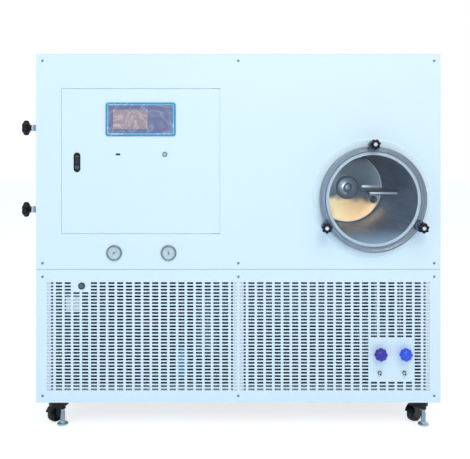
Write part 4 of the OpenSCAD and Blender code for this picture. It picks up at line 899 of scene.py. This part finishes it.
class FREEZEDRYER_OT_gauges(Operator):
    """Models the two round gauges with rim, dial, marks, needle and glass"""
    bl_idname = "freeze_dryer.gauges"
    bl_label = "Gauges"

    def execute(self, context):
        count = settings().sizes.dial_marks
        sweep = math.radians(270)
        sides = (("left", "gauge_needle_left", 30), ("right", "gauge_needle_right", 100))
        bm_cases, bm_glass = Maker(), Maker()
        low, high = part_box("gauge_cases")
        rim_r, case_z = 25, (low[2] + high[2]) / 2
        centres = (low[0] + rim_r * MM, high[0] - rim_r * MM)
        marks = bmesh.new()
        for x, (side, node, rest) in zip(centres, sides):
            place = facing_front(x, case_z)
            bm_cases.turned([
                (0, 1.2), (rim_r - 5.7, 1.2), (rim_r - 5, 2.6), (rim_r - 3.2, 3.6), (rim_r - 3.2, 4.6),
                (rim_r - 2.6, 5.3), (rim_r - 1.6, 5.4),
                (rim_r - 0.4, 4.6), (rim_r, 3.0), (rim_r, 0), (rim_r - 6, 0), (rim_r - 6, -26),
                (5, -26), (5, -40), (0, -40)], place, 72, spans=[1, 3, 3, 0, 0, 0, 0, 2] + [0] * 6)
            bm_glass.turned([(0, 3.8), (rim_r - 3.4, 3.8), (rim_r - 3.4, 4.6), (0, 5.0)], place, 64)
            for radius, size, number in ((17.6, (2.2, 0.3, 0.1), count),
                                         (16.9, (3.6, 0.55, 0.1), (count - 1) // 5 + 1)):
                ring = grown(ring_tree, {
                    "Count": number, "Radius": radius, "Start Angle": math.radians(-45),
                    "Step Angle": sweep / (number - 1), "Size": size, "Lift": 1.25,
                    "Material": finish("print")}, place)
                marks.from_mesh(ring)
            Maker().turned([(0, 3.2), (2.4, 3.2), (2.4, 1.6), (0, 1.6)], place, 32).plate(
                self.needle(rest), 1.7, 2.1, place).done(
                f"gauge_pointer_{side}", f"needle_{side}", ["print"], [node], "needle_black")
        bm_cases.done("gauge_bodies", "cabinet", ["gauge_rim", "dial", "switch_ring", "gauge_surround"],
                      ["gauge_cases"], "gauge_rim")
        bm_glass.done("gauge_windows", "cabinet", ["gauge_glass"], ["gauge_glasses"], "gauge_glass", 5)
        mesh = bpy.data.meshes.new("dial_marks")
        marks.to_mesh(mesh)
        marks.free()
        settle(mesh, "dial_marks", "cabinet", ["print"])
        return {"FINISHED"}

    def needle(self, rest):
        """A tapered needle turned to its rest angle."""
        a = math.radians(rest)
        shape = [(-6, -0.9), (2, -0.8), (15.5, -0.15), (15.5, 0.15), (2, 0.8), (-6, 0.9)]
        return [(x * math.cos(a) - y * math.sin(a), x * math.sin(a) + y * math.cos(a))
                for x, y in shape]


class FREEZEDRYER_OT_chamber(Operator):
    """Models the vacuum chamber with its flange, ears, studs and far end"""
    bl_idname = "freeze_dryer.chamber"
    bl_label = "Chamber"

    def execute(self, context):
        place = facing_front(CHAMBER.x, CHAMBER.z)
        bore, wall, deep, out = BORE, WALL, DEEP, FLANGE_OUT
        rim = bore + 27.5
        maker = Maker()
        # The groove at the flange's inner edge is painted dark as the clear door's shadow
        maker.turned([
            (0, -deep), (bore - 6, -deep), (bore, -deep + 6), (bore, out - 1), (bore + 1, out),
            (bore + 10.4, out), (bore + 10.4, out - 1.2), (bore + 12.4, out - 1.2), (bore + 12.4, out),
            (rim - 2, out), (rim - 0.6, out - 0.6), (rim, out - 2), (rim, out - 19), (rim - 1, out - 20),
            (bore + wall, out - 20), (bore + wall, -deep - wall), (0, -deep - wall)],
            place, 192, spans=[1, 1, 1, 0, 0, 4, 4, 4] + [0] * 6 + [2, 2])
        for _side, degrees in STUDS:
            arm = (place @ Matrix.Rotation(math.radians(degrees), 4, "Z")
                   @ Matrix.Translation((STUD_CIRCLE, 0, 0)))
            maker.turned([(0, 10), (11.5, 10), (12, 10.5), (12, 27.5), (11.5, 28), (0, 28)], arm, 48)
            maker.turned([(0, 27.8), (5, 27.8), (5, 69.4), (4.1, 70.3), (0, 70.3)], arm, 32, paint=3)
        maker.done("chamber_vessel", "cabinet", ["flange", "shell", "shell_outside", "bright", "groove"],
                   ["chamber_shell"], "stainless")
        dress("cold_plate", "cold_plate")
        dress("foam", "chamber_insulation")
        self.far_plate(place)
        return {"FINISHED"}

    def far_plate(self, place):
        """The turned plate with its hub, and the folded steel bracket on the right wall."""
        back = -494.8
        maker = Maker()
        maker.turned([
            (0, back), (20, back), (20, back + 14), (136.4, back + 14), (137, back + 14.6),
            (137, back + 18.6), (133.2, back + 22), (47, back + 22), (44, back + 24), (40, back + 29),
            (38, back + 30), (17, back + 33.6), (16, back + 35), (16, back + 39.5), (15.2, back + 40.6),
            (12, back + 42), (0, back + 42)], place, 144, spans=[0] * 5 + [2] + [0] + [1] * 4 + [3] * 5)
        maker.done("cold_plate_disc", "cabinet", ["cold_plate", "hub_cone", "plate_edge_highlight", "hub_end"],
                   ["cold_plate"], "cold_surface")
        bracket = Maker()
        rear, front, reach = -445, -228, 139.4
        bracket.block((40, -3, rear), (reach, 1, front - 4), place, 0.6)
        bracket.block((40, -6, front - 4), (reach, 1, front), place, 0.6)
        # The strip under the lip and the strip along its top are painted black as shade
        bracket.block((40, -9, front - 4), (reach, -6, front), place, 0.4, 1)
        bracket.block((30, 1.2, front - 8), (reach, 5.4, front - 1), place, 0.4, 1)
        bracket.block((52, -3, rear), (122, 11, rear + 3), place, 0.6)
        bracket.done("shelf_bracket", "cabinet", ["bracket", "bracket_painted_shade"], slot="stainless")


class FREEZEDRYER_OT_chamber_door(Operator):
    """Models the clear door, its gasket and hand knobs, and finishes its shoes and rest pad"""
    bl_idname = "freeze_dryer.chamber_door"
    bl_label = "Chamber Door"

    def execute(self, context):
        place = facing_front(CHAMBER.x, CHAMBER.z)
        edge = span("door_window").x / MM / 2
        inner, outer = 33, 45
        Maker().turned([
            (0, inner), (edge - 0.6, inner), (edge, inner + 0.6), (edge, outer - 1.2),
            (edge - 0.4, outer - 0.4), (edge - 1.2, outer), (0, outer)], place, 192).done(
            "clear_door", "chamber_door", ["acrylic"], ["door_window"], "acrylic", 15)
        Maker().turned([
            (140.6, 30.1), (149.6, 30.1), (150, 31.5), (149.6, 32.9), (140.6, 32.9)],
            place, 160, closed=True).done(
            "door_seal", "chamber_door", ["silicone"], ["door_gasket"], "white_silicone")
        pad_edge = 20 * MM
        # The shoes are painted blue-grey for the knobs' shadow on them
        repainted("window_fittings", "shoes_and_pad", "chamber_door", ["shoe", "black_plastic"],
                  lambda p: int(math.hypot(p.x - CHAMBER.x, p.z - CHAMBER.z) < pad_edge),
                  "black_plastic")
        for side, degrees in STUDS:
            turn = math.radians(degrees)
            arm = (STUD_CIRCLE * math.cos(turn), STUD_CIRCLE * math.sin(turn), 0)
            stud = place @ Matrix.Translation(arm) @ Matrix.Rotation(-math.pi / 2, 4, "Z")
            Maker().lobed([
                (6.2, 0, 51.4), (8.4, 0, 51.4), (8.4, 0, 56), (9.4, 0.4, 56.6), (15, 2.8, 57.6),
                (16.8, 3.6, 60), (16.8, 3.6, 67), (15.6, 3.1, 69.4), (12.5, 1.8, 70.6), (8.6, 0.3, 71.2),
                (7, 0, 71.2), (6.2, 0, 70.6)], 7, stud, closed=True).turned(
                [(5.1, 51.6), (6.1, 51.6), (6.1, 70.8), (5.7, 71.1), (5.1, 71.1)], stud, 40,
                closed=True, paint=1).done(
                f"star_knob_{side}", f"clamp_{side}", ["black_plastic", "bright"],
                [f"clamp_knob_{side}"], "black_plastic")
        return {"FINISHED"}


class FREEZEDRYER_OT_valves(Operator):
    """Models the side valves, the drain valves and the main switch"""
    bl_idname = "freeze_dryer.valves"
    bl_label = "Valves and Switch"

    def execute(self, context):
        dress("steel_tube", "process_lines")
        ring_near, ring_far = LEFT - 32.8 * MM, LEFT - 38.2 * MM
        repainted("side_valves", "side_valve_bodies", "cabinet", ["steel_tube", "nylon"],
                  lambda p: int(ring_far < p.x < ring_near), "stainless")
        low, _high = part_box("drain_valves")
        seat_face = FRONT - 3.2 * MM
        hex_low, hex_high = low[2] + 6 * MM, low[2] + 22 * MM
        repainted("drain_valves", "drain_valve_bodies", "cabinet", ["steel_tube", "black_oxide"],
                  lambda p: int(seat_face < p.y < FRONT + 0.1 * MM and hex_low < p.z < hex_high),
                  "stainless")
        for node, body in (("side_knob_upper", "side_valve_upper"),
                           ("side_knob_lower", "side_valve_lower")):
            knob = middle(node)
            place = facing_left(knob.y, knob.z)
            reach = (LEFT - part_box(node)[0][0]) / MM
            Maker().lobed([
                (4.1, 0, 38.4), (9.5, 0, 38.4), (9.5, 0, 45.6), (10.6, 0.3, 47), (13.5, 1.2, 48.4),
                (20, 3.4, 50), (23.8, 4.6, 52.6), (25, 5.2, 56), (25, 5.2, 61), (24, 4.8, 64.6),
                (21, 3.6, 67), (14, 1.6, reach - 0.4), (7, 0, reach), (0, 0, reach)], 6, place).done(
                f"valve_{node}", body, ["black_plastic"], [node], "black_plastic")
        for side in ("left", "right"):
            node = f"drain_knob_{side}"
            knob = middle(node)
            reach = (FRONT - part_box(node)[0][1]) / MM
            Maker().lobed([
                (4.1, 0, 8.4), (11, 0, 8.4), (11, 0, 13), (13, 0.4, 14), (18.5, 1.7, 15.4),
                (20.6, 2.1, 17.5), (21.3, 2.2, 20), (21.1, 2.2, reach - 15), (20.1, 2.0, reach - 11),
                (18.1, 1.7, reach - 7.6), (15.2, 1.3, reach - 4.8), (11.4, 0.8, reach - 2.6),
                (7, 0.3, reach - 1), (3, 0, reach - 0.2), (0, 0, reach)],
                8, facing_front(knob.x, knob.z)).done(
                f"drain_handle_{side}", f"drain_{side}", [f"drain_{side}"], [node], "blue_plastic")
        dress("switch_ring", "main_switch_body")
        dress("switch_cap", "main_switch_cap")
        return {"FINISHED"}


class FREEZEDRYER_OT_casters(Operator):
    """Models the casters' wheels, forks and levelling feet"""
    bl_idname = "freeze_dryer.casters"
    bl_label = "Casters"

    def execute(self, context):
        dress("foot", "caster_mounts")
        dress("black_gloss", "caster_fork_left", "caster_fork_right")
        blocks = settings().sizes.tread_blocks
        axles = {joint["name"]: joint["axis"] for joint in frame["record"]["behaviour"]["joints"]}
        for place_name in ("front_left", "front_right", "rear_left", "rear_right"):
            node = f"caster_wheel_{place_name}"
            hub, r, half = middle(node), span(node).z / MM / 2, 11
            axle = Vector(axles[f"wheel_{place_name}_spin"])
            place = (Matrix.Translation(hub) @ axle.to_track_quat("Z", "Y").to_matrix().to_4x4()
                     @ Matrix.Scale(MM, 4))
            maker = Maker()
            maker.turned([
                (4.1, -half + 1), (6, -half + 0.2), (8, -half + 0.2), (9, -half + 1.6),
                (r - 8, -half + 1.6), (r - 7, -half + 0.4), (r - 3, -half + 0.3),
                (r - 0.6, -half + 2.2), (r - 0.3, -half + 4), (r - 0.3, half - 4),
                (r - 0.6, half - 2.2), (r - 3, half - 0.3), (r - 7, half - 0.4), (r - 8, half - 1.6),
                (9, half - 1.6), (8, half - 0.2), (6, half - 0.2), (4.1, half - 1)],
                place, 64, spans=[1] * 4 + [0] * 9 + [1] * 5, closed=True)
            ribs = grown(ring_tree, {
                "Count": blocks, "Radius": r - 0.7, "Start Angle": 0.0,
                "Step Angle": 2 * math.pi / blocks, "Size": (1.2, 2.4, 2 * half - 9), "Lift": 0.0,
                "Material": finish("tyre")}, place)
            maker.bm.from_mesh(ribs)
            maker.done(f"wheel_{place_name}", f"wheel_{place_name}", ["tyre", "hub"], [node],
                       "wheel_rubber")
        for side in ("left", "right"):
            foot = middle(f"caster_foot_{side}")
            _low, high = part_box(f"caster_foot_{side}")
            stud_top = high[2] / MM
            maker = Maker()
            maker.turned([
                (0, 0), (16.5, 0), (17.5, 1), (17.5, 3.6), (16.6, 4.8), (12, 6.4), (9, 7.6), (8.2, 9),
                (8.2, 12), (6.4, 12.6)], upright(foot.x, foot.y, 0), 64)
            maker.turned([(6.4, 12.6), (7.6, 13), (7.6, 38), (7, 38.6), (6.4, 38.6), (6.4, stud_top - 1),
                          (5.6, stud_top), (0, stud_top)], upright(foot.x, foot.y, 0), 48, paint=1)
            maker.done(f"levelling_foot_{side}", f"foot_{side}", ["foot", "foot_stud"],
                       [f"caster_foot_{side}"], "foot_steel")
        return {"FINISHED"}


class FREEZEDRYER_OT_machinery(Operator):
    """Finishes the machinery in the lower compartment and the control modules"""
    bl_idname = "freeze_dryer.machinery"
    bl_label = "Machinery"

    def execute(self, context):
        dress("machine_black", "fan")
        dress("copper", "refrigerant_circuit")
        dress("galvanised", "fan_shroud")
        dress("pump", "vacuum_pump")
        low, _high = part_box("compressor_unit")
        shell_end, drier_end, drier_rear = low[0] + 195 * MM, low[0] + 280 * MM, FRONT + 170 * MM
        repainted("compressor_unit", "compressor_set", "cabinet", ["machine_black", "receiver", "drier"],
                  lambda p: 0 if p.x < shell_end else 1 + int(p.y < drier_rear and p.x < drier_end),
                  "machine_black")
        repainted("control_modules", "control_boxes", "cabinet", ["module", "junction_box"],
                  lambda p: int(p.z < SEAM), "module_grey")
        self.condenser()
        self.pump_ribs()
        return {"FINISHED"}

    def condenser(self):
        """Fins on tubes between two end plates, in place of the block."""
        low, high = (Vector(c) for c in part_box("condenser_coil"))
        pitch = settings().sizes.fin_pitch
        count = int((high.x - low.x - 8 * MM) / pitch)
        base = low.z + 8 * MM
        deep, tall = high.y - low.y, high.z - base
        fins = grown(row_tree, {
            "Count": count, "First": (low.x + 4 * MM + pitch / 2, (low.y + high.y) / 2, base + tall / 2),
            "Step": (pitch, 0, 0), "Size": (0.4 * MM, deep, tall), "Material": finish("fins")})
        maker = Maker()
        maker.bm.from_mesh(fins)
        ones = Matrix.Identity(4)
        for x in (low.x, high.x - 2 * MM):
            maker.block((x, low.y, low.z), (x + 2 * MM, high.y, high.z), ones, paint=1)
        rows, columns = 10, 2
        for i in range(rows):
            for j in range(columns):
                y = low.y + deep * (0.25 + 0.5 * j)
                z = base + tall * (i + 0.5) / rows
                place = (Matrix.Translation((low.x, y, z)) @ Matrix.Rotation(math.pi / 2, 4, "Y")
                         @ Matrix.Scale(MM, 4))
                maker.turned([(4.8, 0), (4.8, (high.x - low.x) / MM)], place, 12, paint=2)
        maker.done("condenser_fins", "cabinet", ["fins", "galvanised", "copper"],
                   ["condenser_coil"], "fin_aluminium")

    def pump_ribs(self):
        """Cooling ribs round the pump's motor."""
        low, high = (Vector(c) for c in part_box("vacuum_pump"))
        axis_x = (low.x + high.x) / 2
        ribs = settings().sizes.pump_ribs
        axis_z = high.z - 98 * MM
        place = (Matrix.Translation((axis_x, low.y + 96 * MM, axis_z))
                 @ Matrix.Rotation(math.pi / 2, 4, "X") @ Matrix.Scale(MM, 4))
        mesh = grown(ring_tree, {
            "Count": ribs * 5 // 8, "Radius": 63.5, "Start Angle": math.radians(-20),
            "Step Angle": 2 * math.pi / ribs, "Size": (5.0, 1.6, 150.0), "Lift": 0.0,
            "Material": finish("pump")}, place)
        settle(mesh, "pump_cooling_ribs", "cabinet", ["pump"])


# ---- Studio ----

class FREEZEDRYER_OT_studio(Operator):
    """Makes the camera, the lamps, the even sky and the pale floor"""
    bl_idname = "freeze_dryer.studio"
    bl_label = "Studio"

    def execute(self, context):
        studio = settings().studio
        scene = context.scene
        view = bpy.data.cameras.new("front_view")
        view.lens, view.sensor_width = studio.lens, 36
        view.shift_x, view.shift_y = -0.021, -0.19
        view.clip_end = 100
        camera = bpy.data.objects.new("front_view", view)
        camera.location = (MIDDLE + studio.aside, FRONT - studio.distance, studio.height)
        camera.rotation_euler = (math.pi / 2, 0, 0)
        scene.collection.objects.link(camera)
        scene.camera = camera
        self.lamp("key", (MIDDLE + 0.5, FRONT - 2.6, 3.0), 2.2, studio.key, "#fff2d2")
        self.lamp("fill", (MIDDLE - 2.6, FRONT - 2.2, 1.0), 2.0, studio.fill, "#e5f8ff")
        self.lamp("low", (MIDDLE, FRONT - 1.9, 0.25), 1.6, studio.low, "#86c8ff")
        self.lamp("back", (MIDDLE + 0.6, REAR + 2.6, 2.4), 2.2, studio.back, "#fff0d8")
        self.chamber_lamp(studio.spot)
        self.sky(scene, studio.sky)
        self.floor()
        scene.view_settings.view_transform = "Standard"
        return {"FINISHED"}

    def lamp(self, name, place, size, power, shade):
        light = bpy.data.lights.new(name, "AREA")
        light.energy, light.size, light.color = power, size, linear(shade)[:3]
        lamp = bpy.data.objects.new(name, light)
        lamp.location = place
        aim = Vector((MIDDLE, FRONT, 0.6)) - lamp.location
        lamp.rotation_euler = aim.to_track_quat("-Z", "Y").to_euler()
        bpy.context.scene.collection.objects.link(lamp)

    def chamber_lamp(self, power):
        """A narrow lamp from the left that shines through the clear door on the chamber's far end."""
        light = bpy.data.lights.new("chamber_light", "SPOT")
        light.energy, light.color = power, linear("#f6f9ff")[:3]
        light.spot_size, light.spot_blend, light.shadow_soft_size = math.radians(6), 0.3, 0.04
        lamp = bpy.data.objects.new("chamber_light", light)
        lamp.location = (CHAMBER.x - 0.35, FRONT - 2.5, CHAMBER.z + 0.25)
        aim = CHAMBER - lamp.location
        lamp.rotation_euler = aim.to_track_quat("-Z", "Y").to_euler()
        bpy.context.scene.collection.objects.link(lamp)

    def sky(self, scene, strength):
        """Even light on the object, and plain white behind it, in its glass and in its metal."""
        world = bpy.data.worlds.new("studio")
        scene.world = world
        world.use_nodes = True
        tree = world.node_tree
        tree.nodes.clear()
        seen = self.seen(tree)
        even = add(tree, "ShaderNodeBackground", {"Color": linear("#d6e4ff"), "Strength": strength})
        white = add(tree, "ShaderNodeBackground", {"Color": (1, 1, 1, 1), "Strength": 1.0})
        both = add(tree, "ShaderNodeMixShader", None, {
            0: seen, 1: even.outputs["Background"], 2: white.outputs["Background"]})
        add(tree, "ShaderNodeOutputWorld", None, {"Surface": both.outputs["Shader"]})

    def seen(self, tree):
        """1 for what the camera sees, straight or in metal and glass; 0 for light falling on things."""
        path = add(tree, "ShaderNodeLightPath")
        value = path.outputs["Is Camera Ray"]
        for ray in ("Is Glossy Ray", "Is Transmission Ray"):
            value = add(tree, "ShaderNodeMath", None, {0: value, 1: path.outputs[ray]},
                        operation="MAXIMUM").outputs["Value"]
        return value

    def floor(self):
        """A pale floor that fades into the white behind it."""
        made = bpy.data.materials.new("studio_floor_white")
        made.use_nodes = True
        tree = made.node_tree
        shader = tree.nodes["Principled BSDF"]
        shader.inputs["Base Color"].default_value = linear("#fbfdff")
        shader.inputs["Roughness"].default_value = 0.9
        shader.inputs["Specular IOR Level"].default_value = 0.1
        glow = add(tree, "ShaderNodeEmission", {"Color": (1, 1, 1, 1), "Strength": 1.45})
        share = add(tree, "ShaderNodeMath", {1: 0.5}, {0: self.seen(tree)}, operation="MULTIPLY")
        mixed = add(tree, "ShaderNodeMixShader", None, {
            0: share.outputs["Value"], 1: shader.outputs["BSDF"], 2: glow.outputs["Emission"]})
        tree.links.new(mixed.outputs["Shader"], tree.nodes["Material Output"].inputs["Surface"])
        mesh = bpy.data.meshes.new("studio_floor")
        mesh.from_pydata([(-12, -12, 0), (12, -12, 0), (12, 12, 0), (-12, 12, 0)], [], [(0, 1, 2, 3)])
        mesh.materials.append(made)
        floor = bpy.data.objects.new("studio_floor", mesh)
        bpy.context.scene.collection.objects.link(floor)


# ---- Add-on ----

class FreezeDryer(PropertyGroup):
    colours: PointerProperty(type=DryerColours)
    sizes: PointerProperty(type=DryerSizes)
    studio: PointerProperty(type=DryerStudio)


OPERATORS = (
    FREEZEDRYER_OT_cabinet, FREEZEDRYER_OT_panel_screws, FREEZEDRYER_OT_display,
    FREEZEDRYER_OT_door_fittings, FREEZEDRYER_OT_gauges, FREEZEDRYER_OT_chamber,
    FREEZEDRYER_OT_chamber_door, FREEZEDRYER_OT_valves, FREEZEDRYER_OT_casters,
    FREEZEDRYER_OT_machinery, FREEZEDRYER_OT_studio,
)


class FREEZEDRYER_PT_panel(Panel):
    """Lists the freeze dryer's pieces and settings"""
    bl_label = "Freeze Dryer"
    bl_space_type = "VIEW_3D"
    bl_region_type = "UI"
    bl_category = "Freeze Dryer"

    def draw(self, context):
        for operator in OPERATORS:
            self.layout.operator(operator.bl_idname)
        for group in (settings().colours, settings().sizes, settings().studio):
            for name in group.__annotations__:
                self.layout.prop(group, name)


CLASSES = (DryerColours, DryerSizes, DryerStudio, FreezeDryer) + OPERATORS + (FREEZEDRYER_PT_panel,)


def register():
    for item in CLASSES:
        bpy.utils.register_class(item)
    bpy.types.Scene.freeze_dryer = PointerProperty(type=FreezeDryer)


def unregister():
    del bpy.types.Scene.freeze_dryer
    for item in reversed(CLASSES):
        bpy.utils.unregister_class(item)


def main():
    register()
    for operator in OPERATORS:
        group, name = operator.bl_idname.split(".")
        getattr(getattr(bpy.ops, group), name)()
    bpy.context.view_layer.update()


if __name__ == "__main__":
    main()
